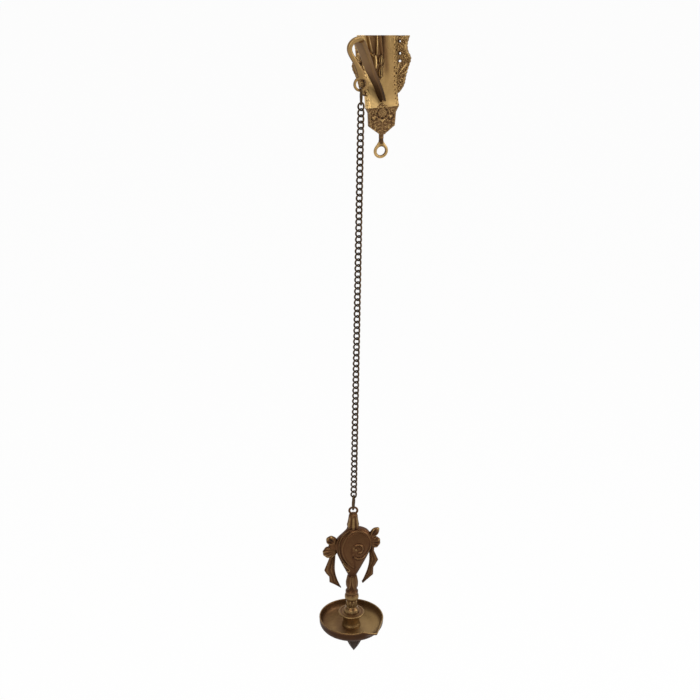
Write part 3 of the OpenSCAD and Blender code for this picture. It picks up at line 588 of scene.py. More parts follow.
def relief_shell(s):
    """The draped relief up the plate's middle: folds of cloth as rounded ridges along drawn lines, over a
    tongue. Painted shade darkens its right side, and its ridges carry painted highlights."""
    foot = 26
    t = np.linspace(-1, 1, 141)[:, None]
    v = foot + (s.plate_length - foot) * np.linspace(0, 1, 140)[None] ** 1.6
    share = (v - foot) / (s.plate_length - foot)
    half = 9.8 * share**0.45
    x = t * half - 1.2 * share
    height = 1.2 * (1 - t**4) + 0 * v
    # Painted shade over the relief's right side, darker towards its right edge
    wear_and_painted_light = 0.36 - 0.28 * ease(0.2, 0.8, t) + 0 * v
    for line, wide, tall, shine in FOLDS:
        gap, along = nearest(x, v + 0 * x, sampled(line, 70))
        ridge = hill(gap, wide * (0.5 + 0.5 * np.sin(math.pi * np.clip(along, 0.02, 0.98)) ** 0.5))
        height = np.maximum(height, tall * np.sqrt(ridge))
        # Each ridge is brightened by its shine: rubbed brass with a painted highlight
        wear_and_painted_light = np.maximum(wear_and_painted_light, shine * ridge**0.7)
    height = np.minimum(height, 6.0 * (1 - np.abs(t) ** 5))
    x = x + s.relief_x
    up = v + top_rise(s, x, v)
    return sheet(on_plate(s, x, -height, up), on_plate(s, x, 0.2 + 0 * x, up), wear_and_painted_light)


def bud_shell(s):
    """The lotus bud: a teardrop and a smaller loop over it, each a rounded boss with a dark channel inside
    its rim."""
    x = np.linspace(-2.0, 5.6, 77)[:, None]
    v = np.linspace(27.4, 51.2, 170)[None]
    height = np.full(np.broadcast_shapes(x.shape, v.shape), -1.0)
    wear_and_painted_light = np.zeros_like(height)
    for middle, tall, wide, shift in ((34.4, 5.9, 2.6, 1.8), (45.8, 4.3, 2.4, 2.4)):
        up = (v - middle) / tall
        side = wide * np.sqrt(np.clip(1 - up**2, 1e-4, 1)) * (1 - 0.28 * up)
        r = np.where(np.abs(up) < 1, np.abs(x - shift - 0.4 * up) / side, 9.0)
        shape = 1.5 * np.sqrt(np.clip(1 - r**2, 0, 1)) - 0.9 * hill(r - 0.42, 0.2) * (1 - up**2)
        height = np.where(r < 1, np.maximum(height, shape), height)
        wear_and_painted_light = np.where(r < 1, 0.86 - 0.86 * hill(r - 0.42, 0.24) + 0.1 * hill(r, 0.2), wear_and_painted_light)
    keep = height[:-1, :-1] > 0
    x = x + s.relief_x + 0 * v
    front = on_plate(s, x, -2.2 - np.clip(height, 0, 3), v)
    return sheet(front, on_plate(s, x, -0.6 + 0 * x, v + 0 * x), wear_and_painted_light, keep)


def wing_edge(s, v):
    """Reach of a wing at a height: a wavy outline that swells in from its lower end, nicked by small
    scallops."""
    rise = np.clip((v - WING_FOOT) / 20, 0, 1) ** 0.75
    wave = s.wing_reach + 1.6 * np.cos(TURN * (v - 44) / 27) - 1.1 * ease(48.0, 40.0, v)
    return (wave - 0.45 * np.abs(np.cos(math.pi * v / 3.4)) ** 3) * rise


# Each scroll of a wing: its share of the reach, its height on the plate, its size and the way it winds
SCROLLS = (
    (0.50, 17.0, 3.6, 1),
    (0.50, 24.4, 4.4, -1),
    (0.66, 47.6, 3.9, 1),
    (0.62, 56.6, 4.6, -1),
    (0.60, 65.4, 4.6, 1),
)


def wing_carving(s, across, v, reach):
    """Heights of a wing's carving: spirals as ridges over a thin ground, a leaf that fans out from the
    plate's side, a rib along the outline, a seam beside the plate and a bar across."""
    root, turn = polar(across + 0.6, v - 26.0)
    fan = wave(15 * turn + 0.25 * root) * ease(19.0, 16.0, root) * ease(0.25, 0.6, turn)
    height = fan * ease(45.0, 42.5, v - 0.2 * across) * ease(1.0, 3.5, root)
    for share, centre, size, hand in SCROLLS:
        r, a = polar(across - share * wing_edge(s, np.array(centre)), v - centre)
        height = np.maximum(height, np.exp(-((r / size) ** 4)) * wave(TURN * r / 2.5 - hand * a) ** 0.8)
    rib = hill(reach - across - 0.8, 0.7)
    seam = hill(across + 0.2, 0.45)
    bar_across = hill(v - 56.8 - 0.15 * across, 0.8) * ease(1.0, 2.5, across)
    ground = 0.42 + 0.30 * np.sin(2.1 * across + 1.3 * v + np.sin(0.8 * v)) * np.sin(1.7 * v - 0.9 * across)
    for layer, strength in ((rib, 0.85), (seam, 0.9), (bar_across, 0.9), (ground, 1.0)):
        height = np.maximum(height, strength * layer)
    return height


def wing_shell(s, side):
    """A wing of carved scrollwork with three piercings beside the plate. It turns forward as it rises, least
    where it is widest."""
    t = np.linspace(0, 1, 90)[:, None]
    v = np.linspace(WING_FOOT + 0.3, s.plate_length, 240)[None]
    reach = wing_edge(s, v)
    across = -2.4 * (1 - t) + t * reach
    height = wing_carving(s, across, v, reach)
    holes = np.full_like(across, 9.0)
    for centre, wide, tall in ((43.0, 1.35, 1.1), (50.5, 1.3, 1.35), (62.0, 1.3, 1.2)):
        holes = np.minimum(holes, np.hypot((across - 2.0) / wide, (v - centre) / tall))
    keep = (holes[:-1, :-1] + holes[1:, 1:]) / 2 > 1.0
    pit = hill(np.clip(holes - 1, 0, None), 0.55)
    wear_and_painted_light = 0.16 + 0.66 * height - 0.5 * pit + 0.12 * ease(40.0, 50.0, v)
    if side < 0:
        wear_and_painted_light = wear_and_painted_light - 0.45 * hill(across - 0.6, 1.4)
    front = -(1.35 * height - 0.5 * pit) * ease(0.0, 0.5, reach - across + 0.12)
    low, top = s.wing_sweep_low, s.wing_sweep_top
    sweep = profile(v, (WING_FOOT, low + 0.28), (28, low + 0.28), (38, low + 0.08), (43, low + 0.16),
                    (52, top), (68, top))
    flare = math.atan2(s.plate_top - s.plate_low, s.plate_length - WING_FOOT)

    def carried(depth):
        """The wing's points at a depth, swept forward and turned along the plate's flaring side."""
        x = across * np.cos(sweep) + depth * np.sin(sweep)
        y = depth * np.cos(sweep) - across * np.sin(sweep)
        up = v - WING_FOOT + 0 * x
        out = side * (x * math.cos(flare) + up * math.sin(flare) + s.plate_low)
        return on_plate(s, out, y, up * math.cos(flare) - x * math.sin(flare) + WING_FOOT)

    return sheet(carried(front), carried(2.0 + 0 * front), wear_and_painted_light, keep)


def brace_line(s, q):
    """Middle line of the brace arm: its reach grows as q to the power 1.2, and a little more half way up,
    while it climbs evenly."""
    foot_up, climb = 6.0, 67.8
    foot = np.array([0.0, -s.fold_out + foot_up * math.tan(s.plate_lean)])
    top = np.array([-s.hook_x - 3.9, -s.hook_y])
    share = (q**1.2 + 0.06 * hill(q - 0.5, 0.22))[..., None]
    flat = foot + (top - foot) * share
    return np.concatenate([flat, (-s.fold_drop + foot_up + climb * q)[..., None]], -1)


def brace_shell(s):
    """The brace arm: a flat bar with softened edges that widens as it climbs from the plate to the crook. Its
    foot is darkened as painted shade.
    """
    sides = 48
    q = np.linspace(0.0, 0.985, 70)
    path = brace_line(s, q)
    ahead = path[-1] - path[0]
    level = unit(np.cross(np.cross([0, 0, 1.0], ahead), np.gradient(path, axis=0)))
    corner = np.abs(np.sin(2 * turns(sides))) ** 6
    # Painted shade at the foot of the arm, fading as it climbs; its corners are rubbed lighter
    wear_and_painted_light = (0.06 + 0.50 * ease(0.10, 0.70, q))[:, None] + 0.22 * corner
    return bar(path, 3.7 + 2.6 * q, 2.2, level, sides, wear_and_painted_light, power=5.0)


# Middle line of the crook's bar, as offset and height, with the chain hung at the offset CROOK_X to the left
CROOK_X = 30.8
CROOK = (
    (-30.4, 21.9), (-32.6, 22.1), (-35.2, 22.2), (-38.6, 21.3), (-41.3, 19.3), (-43.0, 16.6), (-43.5, 13.6),
    (-42.7, 10.0), (-40.4, 5.6), (-37.3, 0.5), (-34.8, -3.8), (-33.0, -7.6), (-31.6, -11.6), (-31.2, -15.0),
)


def crook_shells(s):
    """The crook: a bar from the arm's top, bent over in an arc, then a shank that spreads as it runs down to
    the eye, and the eye's ring, thicker on its outer side. The bar's front is rubbed, and its edges carry
    painted shade, deepest along the shank; the ring carries painted shade along its inner and outer edges."""
    rows, sides = 110, 40
    line = sampled(CROOK, rows)
    path = stack(line[:, 0] + CROOK_X - s.hook_x, -s.hook_y, line[:, 1])
    along = np.linspace(0, 1, rows)
    down = np.where(along > 0.35, line[:, 1], 12.0)
    wide = profile(down, (-15, 2.4), (-12, 3.8), (-8.5, 3.3), (-4, 2.7), (0, 2.5), (6, 2.4), (12, 2.4))
    wide = wide + 0.3 * ease(0.25, 0.0, along)
    deep = s.crook_bar + 0.1 - 1.1 * ease(0.5, 1.0, along)
    edge = (np.abs(np.cos(turns(sides))) ** 6)[None]
    # Painted shade along both edges of the bar, deeper along the shank
    wear_and_painted_light = (0.63 - 0.08 * ease(0.4, 0.7, along))[:, None]
    wear_and_painted_light = wear_and_painted_light - (0.16 + 0.30 * ease(0.3, 0.5, along))[:, None] * edge
    hook = bar(path, wide, deep, BACK, sides, wear_and_painted_light, power=2.6)
    turn, sides = turns(96), 24
    outer = np.clip(np.cos(turn - 0.4), 0, 1)
    thick = 1.35 + 0.35 * outer
    reach = s.hook_eye + 0.15 + 0.30 * outer
    across, up = -s.hook_x - 0.6 + reach * np.cos(turn), EYE_RISE - s.fold_drop + reach * np.sin(turn)
    # Painted shade along the ring's inner and outer edges
    wear_and_painted_light = 0.62 - 0.45 * np.abs(np.cos(turns(sides))[None]) ** 4
    return [hook, bar(stack(across, -s.hook_y, up), thick, 1.2, BACK, sides, wear_and_painted_light, loop=True, power=2.4)]


def tail_shells(s):
    """The tail eye: a round-sectioned ring about a true circle, its outer edge drawn up to a point under a
    dark stem. The ring's inner side, round the hole, carries painted shade."""
    middle, depth = -96.65, -s.fold_out + 1.5
    turn = turns(96)[:, None]
    off = np.minimum(turn, TURN - turn)
    outer = s.tail_hole + 3.1 + 3.4 * hill(off, 0.42)
    section = turns(32)[None]
    # Painted shade on the ring's inner side, round the hole
    inside = np.clip(-np.cos(section), 0, 1) ** 2
    reach = (s.tail_hole + outer) / 2 + (outer - s.tail_hole) / 2 * np.cos(section)
    points = stack(reach * np.sin(turn), depth + 1.7 * np.sin(section), middle + reach * np.cos(turn))
    ring = skin(points, 0.80 - 0.25 * hill(off, 0.35) - 0.55 * inside, loop=True)
    stem_top, stem_foot = -78.6, -88.8
    z = np.linspace(stem_top, stem_foot, 48)
    radius = 2.45 - 0.15 * ease(-80.0, -82.5, z) + 0.15 * hill(z + 83.0, 0.5) + 0.2 * hill(z + 86.6, 0.6)
    radius = radius - 0.1 * hill(z + 85.0, 0.7)
    wear_and_painted_light = (0.30 - 0.16 * ease(-82.6, -84.0, z) + 0.12 * hill(z + 82.6, 0.5))[:, None]
    stem = moved(lathe(radius, z, 40, wear_and_painted_light), lambda p: p + [0, depth, 0])
    return [ring, stem]


def chain_heights(s):
    """Heights of the upper connecting link's top, of every link and of the lower connecting link's top,
    worked down from the hook's eye, and half the height of a link."""
    top = EYE_RISE - s.fold_drop - s.hook_eye + HOOK_EYE_WIRE + CONNECTOR_WIRE + WIRE_GAP
    half = s.link_pitch / 2 + s.link_wire + WIRE_GAP / 2
    first = top - CONNECTOR_LENGTH + CONNECTOR_WIRE + s.link_wire + LINK_JOIN - half
    links = first - s.link_pitch * np.arange(RUNS * RUN_LINKS)
    low = links[-1] - half + s.link_wire + CONNECTOR_WIRE + LINK_JOIN
    return top, links, low, half


def on_line(s, points, z=0.0):
    """Points round the chain's line, turned with the chain and lifted."""
    c, n = math.cos(s.chain_turn), math.sin(s.chain_turn)
    x, y = points[..., 0], points[..., 1]
    return stack(x * c - y * n - s.hook_x, x * n + y * c - s.hook_y, points[..., 2] + z)


def hung(s, shells):
    """Shells of the lamp, whose heights count from the centre of its eye, hung in the lower connecting
    link."""
    low = chain_heights(s)[2]
    eye = low - CONNECTOR_LENGTH + CONNECTOR_WIRE + LAMP_EYE_WIRE + WIRE_GAP - LAMP_EYE_REACH
    return [moved(shell, lambda p: on_line(s, p, eye)) for shell in shells]


def link_shell(s, half):
    """A curb link: an oval wire loop whose sides bend out of its plane, as the sine of twice the angle, and
    are a little thicker outward."""
    twist = 1.1
    t = turns(44)
    path = stack(s.link_half * np.cos(t), twist * np.sin(2 * t), half * np.sin(t))
    along = unit(stack(-s.link_half * np.sin(t), 2 * twist * np.cos(2 * t), half * np.cos(t)))
    out = stack(np.cos(t), 0 * t, np.sin(t))
    out = unit(out - (out * along).sum(-1, keepdims=True) * along)
    deep = np.cross(along, out)
    turn = turns(12)
    more = (0.20 * np.cos(t) ** 2)[:, None, None]
    grid = path[:, None] + more * out[:, None]
    grid = grid + (s.link_wire + more) * np.cos(turn)[None, :, None] * out[:, None]
    grid = grid + s.link_wire * np.sin(turn)[None, :, None] * deep[:, None]
    wear_and_painted_light = 0.30 + 0.30 * np.cos(turn)[None] + 0.15 * np.cos(2 * t)[:, None]
    return skin(grid, wear_and_painted_light, loop=True)


def connector_shell(s, top, turn):
    """A long connecting link: two half rings joined by straight sides that are a little flattened, seen
    edge-on."""
    leg = CONNECTOR_LENGTH - 2 * CONNECTOR_BEND
    half = np.linspace(0, math.pi, 24)
    upper = np.stack([CONNECTOR_BEND * np.cos(half), CONNECTOR_BEND * np.sin(half)], -1)
    lower = -upper - [0, leg]
    drop = np.linspace(0, 1, 10)[1:-1, None]
    left, right = upper[-1] + drop * (lower[0] - upper[-1]), lower[-1] + drop * (upper[0] - lower[-1])
    line = np.concatenate([upper, left, lower, right])
    height = line[:, 1] + top - CONNECTOR_BEND
    path = stack(-line[:, 0] * math.sin(turn), line[:, 0] * math.cos(turn), height)
    flat = CONNECTOR_WIRE + 0.35 * hill((line[:, 1] + leg / 2) / (leg / 2), 0.8)
    level = np.array([math.cos(turn), math.sin(turn), 0])
    shell = bar(path, CONNECTOR_WIRE, flat, level, sides=16, wear_and_painted_light=0.5, loop=True)
    return moved(shell, lambda p: on_line(s, p))


def crown_shells():
    """The lamp's eye and its crown: a ring that thickens to its outer side, over a bell of upright petals
    that widen to the foot."""
    turn = turns(72)
    side = np.abs(np.cos(turn)) ** 1.5
    reach = 3.62 + 0.62 * side + 0.3 * np.clip(-np.sin(turn), 0, 1)
    path = stack(reach * np.cos(turn), 0.0, reach * np.sin(turn))
    ring = bar(path, 1.07 + 0.13 * side, 1.2, BACK, sides=16, wear_and_painted_light=0.50, loop=True)
    top, foot, around = -3.4, -23.2, 144
    z = np.linspace(top, foot, 80)
    radius = profile(z, (foot, 3.0), (-21.4, 4.6), (-19.8, 6.2), (-18.4, 6.6), (-15.0, 5.8), (-11.0, 5.1),
                     (-8.0, 4.8), (-6.0, 4.8), (-4.6, 4.3), (top, 3.0))[:, None]
    petal = np.abs(np.cos(3.5 * (turns(around) + math.pi / 2))) ** 0.7
    share = ease(-4.5, -9.0, z)[:, None]
    tip = hill(z[:, None] + 19.4 - 0.8 * petal, 0.7)
    radius = radius * (1 + share * (0.22 * petal - 0.16)) - 0.5 * tip * share
    bell = lathe(radius, z, around, 0.28 + 0.68 * petal**2 * share - 0.3 * tip + 0.22 * (1 - share))
    return [ring, bell]


def conch_reach(q, peak, most, rise, fall):
    """Reach of the conch to one side: a quick rise from the crown to its widest place, then a fall to the
    neck."""
    crown, neck = 6.4, 4.4
    up = crown + (most - crown) * np.sin(0.5 * math.pi * np.clip(q / peak, 0, 1)) ** rise
    down = neck + (most - neck) * (1 - np.clip((q - peak) / (1 - peak), 0, 1) ** fall)
    return np.where(q < peak, up, down)


# Lines on the conch's face, as offset and height: round the disc and into the volute, the rim, the groove
DISC = (
    (1.2, -67.8), (-6.4, -59.9), (-10.8, -50.6), (-11.7, -43.0), (-9.2, -34.3), (-2.4, -25.6), (6.5, -23.4),
    (14.4, -27.0), (18.8, -34.2), (19.4, -41.3), (16.1, -49.7), (9.3, -55.8), (3.0, -54.9), (0.0, -48.5),
    (0.5, -42.4), (4.8, -38.9), (9.0, -39.9), (10.6, -43.6), (9.1, -47.4), (6.2, -48.0),
)
RIM = ((-7.1, -64.2), (-12.8, -55.2), (-15.0, -45.7), (-14.3, -35.8), (-10.7, -29.2), (-5.0, -24.0))
GROOVE = ((0.0, -47.5), (-0.4, -52.0), (0.5, -55.9), (1.8, -60.0), (2.2, -66.0), (1.8, -72.0))
CURL = ((-10.4, -62.0), (-7.6, -66.6), (-4.6, -69.2), (-3.2, -72.0), (-4.6, -73.2), (-5.6, -71.6))


def conch_lines(x, z):
    """Line work on the conch's face, as its height and as how far it is rubbed: one line that runs round the
    face's edge and winds inward as a volute, a second line along the left rim, and a groove from the volute
    down to the neck."""
    gap, run = nearest(x, z, sampled(DISC, 300))
    wound = ease(0.50, 0.62, run)
    ridge = hill(gap, 0.62) * (0.60 + 0.45 * wound)
    moat = hill(gap - 1.5, 0.7) * (0.45 + 0.35 * wound)
    rim_gap, _ = nearest(x, z, sampled(RIM, 120))
    second, beside = hill(rim_gap, 0.6), hill(rim_gap - 1.2, 0.5)
    cut, down = nearest(x, z, sampled(GROOVE, 90))
    groove = hill(cut, 0.8) * (1 - 0.6 * down)
    coil = hill(np.hypot(x - 5.4, z + 46.8), 6.5)
    height = 0.9 * ridge - 0.6 * moat + 0.7 * second - 0.5 * beside - 0.9 * groove + 0.5 * coil
    return height, 0.30 * ridge - 0.20 * moat + 0.26 * second - 0.22 * beside - 0.30 * groove


def conch_shells(s):
    """The conch: rounded box sections with a flat domed face that carries the line work. A knob sits in the
    volute, and a small curl ends the left rim."""
    top, neck_depth = -21.5, 4.4
    q = np.linspace(0, 1, 190)[:, None] ** 1.1
    turn = turns(240)[None]
    left = conch_reach(q, 0.36, s.conch_left + 2.8, 1.5, 1.2)
    right = conch_reach(q, 0.34, s.conch_right + 1.5, 0.34, 1.08)
    depth = neck_depth + (s.conch_depth - neck_depth) * np.sin(math.pi * q) ** 0.8
    half = (right + left) / 2
    n = np.sin(turn)
    share = signed_power(np.cos(turn), 0.62)
    x = (right - left) / 2 + half * share
    z = top - s.conch_height * q + 0 * turn
    body = depth * np.sign(n) * (0.62 * np.abs(n) ** 0.45 + 0.38 * (1 - np.abs(share) ** 2.5))
    face = ease(0.0, 0.25, -n)
    height, rubbed = conch_lines(x, z)
    y = body - face * height * ease(0.0, 0.05, q) * ease(1.0, 0.9, q)
    wear_and_painted_light = 0.53 + face * rubbed - 0.10 * ease(0.75, 1.0, q) - 0.12 * (1 - face)
    knob = ball((3.2, -8.7, -44.4), (1.3, 0.9, 1.3), wear_and_painted_light=0.9)
    rows = 60
    line = sampled(CURL, rows)
    path = stack(line[:, 0], np.linspace(-5.2, -5.6, rows), line[:, 1])
    wide, thick = np.linspace(0.8, 0.9, rows), np.linspace(1.0, 1.1, rows)
    return [skin(stack(x, y, z), wear_and_painted_light), knob, bar(path, wide, thick, BACK, sides=14, wear_and_painted_light=0.9)]


def bow_lobe(place, reach, tilt, hollow, pleats, shine, knot):
    """A lobe of a bow: a flattened ball with pleats that spread from the knot's end, and a cup pressed into
    its face. The pleats are a cosine of the angle about a point just past the knot, and grow towards the
    free end. The shine paints a highlight over the lobe's lower left."""
    def cup(p):
        """How far a point of the unit ball lies in the cup, from zero to one."""
        return hill(np.hypot(p[..., 0] + 0.15 * knot, p[..., 2]), 0.5) * (p[..., 1] < 0)

    def pleat(p):
        """Height of the pleats at a point of the unit ball, from minus one to one."""
        fan = np.arctan2(p[..., 2], 1.3 - knot * p[..., 0])
        return np.cos(pleats * fan + 0.6) * ease(-0.9, 0.3, -knot * p[..., 0])

    def swell(p):
        """How far a point of the unit ball is pushed out by the pleats and in by the cup."""
        flat = np.hypot(p[..., 0], p[..., 2])
        return 1 + 0.06 * pleat(p) * (1 - 0.5 * ease(0.7, 1.0, flat)) - hollow * cup(p)

    points, quads, tris, _ = ball((0, 0, 0), reach, around=72, rows=48, swell=swell)
    p = points / np.asarray(reach)
    flat = np.hypot(p[:, 0] + 0.15 * knot, p[:, 2])
    # The shine term is a painted highlight over the lobe's lower left
    wear_and_painted_light = 0.50 + 0.27 * pleat(p) + shine * ease(0.1, 0.9, -p[:, 2] - 0.5 * p[:, 0]) - 1.1 * hollow * cup(p)
    wear_and_painted_light = wear_and_painted_light + 0.5 * hollow * hill(flat - 0.72, 0.16) + 0.16 * ease(0.3, 0.95, -knot * p[:, 0])
    c, n = math.cos(tilt), math.sin(tilt)
    x, y, z = points.T
    return stack(x * c - z * n, y, x * n + z * c) + np.asarray(place), quads, tris, wear_and_painted_light


def ribbon(inner, outer):
    """A ribbon between two edge lines: a thin sheet thrown into pleats that run down its length and deepen
    outward."""
    rows, pleats = 96, 2.5
    inner, outer = sampled(inner, rows), np.asarray(outer, float)
    chord = chords(outer)
    at = np.linspace(0, chord[-1], rows)
    outer = np.stack([np.interp(at, chord, outer[:, k]) for k in (0, 1)], -1)
    share = np.linspace(0, 1, 45)[None, :, None]
    line = inner[:, None] * (1 - share) + outer[:, None] * share
    down = np.linspace(0, 1, rows)[:, None]
    share = share[..., 0]
    wave = np.cos(TURN * pleats * share + 1.6 * down)
    edge = np.minimum(share, 1 - share)
    depth = 0.7 * wave * ease(0, 0.15, edge) * (1 - 0.5 * down)
    half = 0.5 + 1.1 * ease(0.0, 0.22, edge)
    wear_and_painted_light = 0.50 + 0.20 * wave + 0.25 * hill(edge, 0.06)
    x, z = line[..., 0], line[..., 1]
    return sheet(stack(x, depth - half, z), stack(x, depth + half, z), wear_and_painted_light)


def sash_shells(side):
    """A sash at one side of the conch: a knot, two bow lobes and a ribbon tail with a jagged outer edge."""
    if side < 0:
        lobes = [bow_lobe((-22.0, -0.6, -36.8), (6.0, 3.4, 5.6), -0.55, 0.50, 14, 0.0, 1),
                 bow_lobe((-23.6, -0.6, -51.0), (7.9, 3.8, 7.2), 0.45, 0.10, 22, 0.4, 1)]
        knot = ball((-18.8, -0.8, -44.0), (6.6, 3.2, 5.4), wear_and_painted_light=0.42)
        inner = [(-17.4, -55.0), (-17.7, -62.0), (-17.8, -74.6), (-14.8, -87.2), (-10.8, -96.6)]
        outer = [(-24.4, -55.0), (-24.4, -60.0), (-29.4, -74.4), (-27.6, -78.0), (-24.0, -82.6),
                 (-23.6, -89.5), (-19.0, -92.0), (-10.8, -96.6)]
    else:
        lobes = [bow_lobe((23.8, -0.6, -27.6), (7.6, 3.4, 4.3), 0.90, 0.42, 12, 0.1, -1),
                 bow_lobe((25.2, -0.6, -39.6), (5.6, 3.6, 7.0), -0.2, 0.30, 18, 0.1, -1)]
        knot = ball((20.4, -0.8, -34.6), (3.8, 3.6, 6.0), wear_and_painted_light=0.4)
        inner = [(18.4, -44.0), (18.8, -51.0), (19.2, -62.5), (16.8, -76.0), (11.8, -89.6)]
        outer = [(24.4, -44.0), (24.3, -50.8), (29.0, -62.0), (26.0, -68.0), (24.0, -71.4), (23.9, -80.4),
                 (20.6, -83.6), (13.0, -91.2), (11.8, -89.6)]
    left = np.array([1.0, 0, 0])
    return [moved(shell, lambda p: p - left) for shell in (*lobes, knot, ribbon(inner, outer))]


def leaves(turn, z, count, low, high, shift):
    """A ring of upright leaves on a turned form: how far each point lies on a leaf, on its midrib and on its
    edge."""
    share = np.clip((z - low) / (high - low), 0, 1)
    cell = ((turn / TURN * count + shift) % 1) - 0.5
    wide = 0.47 * np.sqrt(np.clip(1 - share**2, 0.0, 1)) + 0.02
    inside = ease(0.0, 0.12, wide - np.abs(cell)) * (share > 0) * (share < 1)
    edge = hill(np.abs(cell) - wide + 0.06, 0.05) * (share < 1)
    return inside, hill(cell, 0.05) * inside, edge


def baluster_shell():
    """The baluster under the conch: a turned form with five hanging leaves round it and a plain foot ring."""
    top, foot, around = -79.6, -104, 144
    z = np.linspace(top, foot, 90)[:, None]
    radius = profile(z, (foot, 6.6), (-103.4, 6.9), (-100.6, 6.9), (-100, 6.3), (-98.4, 5.7), (-94, 6.2),
                     (-89, 6.4), (-84, 5.5), (top, 4.5))
    leaf, rib, edge = leaves(turns(around)[None], -z, 5, 81.0, 98.0, 0.35)
    rise = 0.6 * leaf - 0.5 * rib + 0.25 * edge - 0.3
    worn = 0.28 + 0.34 * leaf - 0.30 * rib + 0.45 * edge + 0.45 * hill(z + 102, 1.6)
    return lathe(radius + rise * ease(-99.5, -97.5, z), z, around, worn)


def bead_shell():
    """The bead ring: half an ellipse turned about the stem, rubbed bright where it is widest."""
    middle, half_height, inner, bulge = -108, 4, 5.6, 2.1
    turn = np.linspace(math.pi / 2, -math.pi / 2, 40)
    worn = (0.50 + 0.45 * np.cos(turn) ** 2)[:, None]
    return lathe(inner + bulge * np.cos(turn), middle + half_height * np.sin(turn), 120, worn)


def neck_shell():
    """The carved neck: a turned form with a ring of eight upright leaves and a foot ring."""
    top, foot, around = -112, -127.5, 144
    z = np.linspace(top, foot, 80)[:, None]
    radius = profile(z, (foot, 8.8), (-126.8, 8.8), (-125.2, 8.3), (-123.6, 7.9), (-122.2, 6.8),
                     (-120.5, 5.6), (-117.5, 5.8), (-114.4, 5.9), (top, 5.2))
    leaf, rib, edge = leaves(turns(around)[None], z, 8, -121.0, -112.6, 0.0)
    worn = 0.58 + 0.34 * leaf - 0.40 * rib + 0.36 * hill(z + 124.4, 1.4) + 0.3 * edge
    return lathe(radius + 0.45 * leaf - 0.3 * rib - 0.2, z, around, worn)


# Section of the base flange and its pedestal, as radius and height
FLANGE = (
    (0.5, -127.4), (8.0, -127.4), (11.4, -127.7), (13.0, -127.5), (14.1, -128.1), (14.1, -129.1),
    (12.4, -129.9), (10.2, -130.7), (9.4, -133.0), (9.0, -137.5), (9.4, -141.6), (10.3, -144.4),
    (10.2, -145.1), (0.5, -145.1),
)


def flange_shell():
    """The round flange on its hollow-sided pedestal, turned, with a shallow groove in its top; the pedestal
    is painted lighter as a painted highlight.
    """
    radius, z = sampled(FLANGE, 130).T
    groove = hill(radius - 11.4, 0.4) * (z > -128.5)
    # The pedestal under the flange is painted lighter, as a painted highlight
    worn = 0.74 - 0.3 * groove + 0.2 * hill(radius - 14, 0.5) + 0.30 * ease(-130.8, -133.0, z)
    return lathe(radius, z - 0.35 * groove, 120, worn[:, None])


def dish_shell(s):
    """The oil dish: a turned bowl whose wall is drawn out on one side into a pouring lip. One side of the
    lip is a straight line that leaves the rim at a tangent, the other a straight chord from the rim to the
    lip, where the rim first rises a little; the pull grows from nothing on the floor to its full reach at
    the rim, and lifts the lip."""
    floor, rows, around = -145.0, 170, 320
    rim, under = floor + s.dish_depth, floor - 2.0
    r, far = s.dish_radius, s.spout_reach
    line = sampled([(0.4, floor), (12, floor), (22, floor), (27.4, floor + 0.4), (31.2, floor + 2.4),
                    (33.0, floor + 5.6), (33.7, rim - 0.9), (34.1, rim + 0.1), (34.8, rim + 0.35),
                    (r, rim - 0.35), (35.2, rim - 1.3), (35.0, rim - 5.0), (34.2, under + 4.4),
                    (32.0, under + 1.5), (28, under + 0.2), (20, under), (10, under), (0.4, under)], rows)
    turn = turns(around)[None]
    lip = s.spout_turn - math.pi / 2
    off = (turn - lip + math.pi) % TURN - math.pi
    near, tangent = 0.30, math.acos(r / far)
    right = np.where(off < tangent, r / np.cos(np.clip(tangent - off, 0, tangent)), r)
    gone = np.clip(-off, 0, near)
    chord = r * far * math.sin(near) / (far * np.sin(gone) + r * np.sin(near - gone))
    peak = np.where(off >= 0, right, chord) - r
    radius, height = line[:, :1], line[:, 1:]
    outside = (np.arange(rows) > line[:, 0].argmax())[:, None]
    pull = np.where(outside, ease(rim - 6.5, rim - 1.2, height), ease(rim - 7.0, rim - 0.5, height))
    share = ease(21.0, 34.5, radius) * pull
    lift = share * (1.4 * hill(off + 0.32, 0.13) + 1.2 * peak / (far - r))
    ring = hill(radius - 34.7, 0.6) * (height > rim - 1.0)
    # Painted light over the right side of the inside, and a painted highlight in a soft ring on the floor
    worn = 0.72 + 0.24 * ease(-0.2, 1.0, np.cos(turn)) + 0.10 * hill(radius - 22, 5.0)
    # Darker where the floor meets the wall; the rim's top is rubbed bright
    worn = np.maximum(worn - 0.16 * hill(radius - 32.5, 1.8), ring)
    # The outer wall is kept dark as painted shade, and the spout's inner wall carries a painted highlight
    wear_and_painted_light = np.where(outside, 0.15 + 0.80 * ring, worn) + 0.12 * hill(off, 0.3) * share * ~outside
    return lathe(radius + share * peak, height + lift, around, wear_and_painted_light)


def finial_shell(s):
    """The finial: a cone with full sides, its radius falling as the square of the depth, cut with shallow
    flutes. It sits a little to the right of the lamp's axis, and is painted dark as painted shade."""
    top, around = -146.9, 120
    q = np.linspace(0, 0.985, 80)[:, None]
    flute = np.abs(np.sin(5 * turns(around)[None])) ** 0.7
    radius = s.finial_radius * (1 - q * q) * (0.93 + 0.08 * flute * ease(1.0, 0.8, q))
    # The finial is painted at the darkest colour as painted shade under the dish; only its flutes are a
    # little lighter
    shell = lathe(radius, top - s.finial_length * q, around, -0.05 + 0.10 * flute + 0 * q)
    return moved(shell, lambda p: p + [s.finial_x, 0, 0])


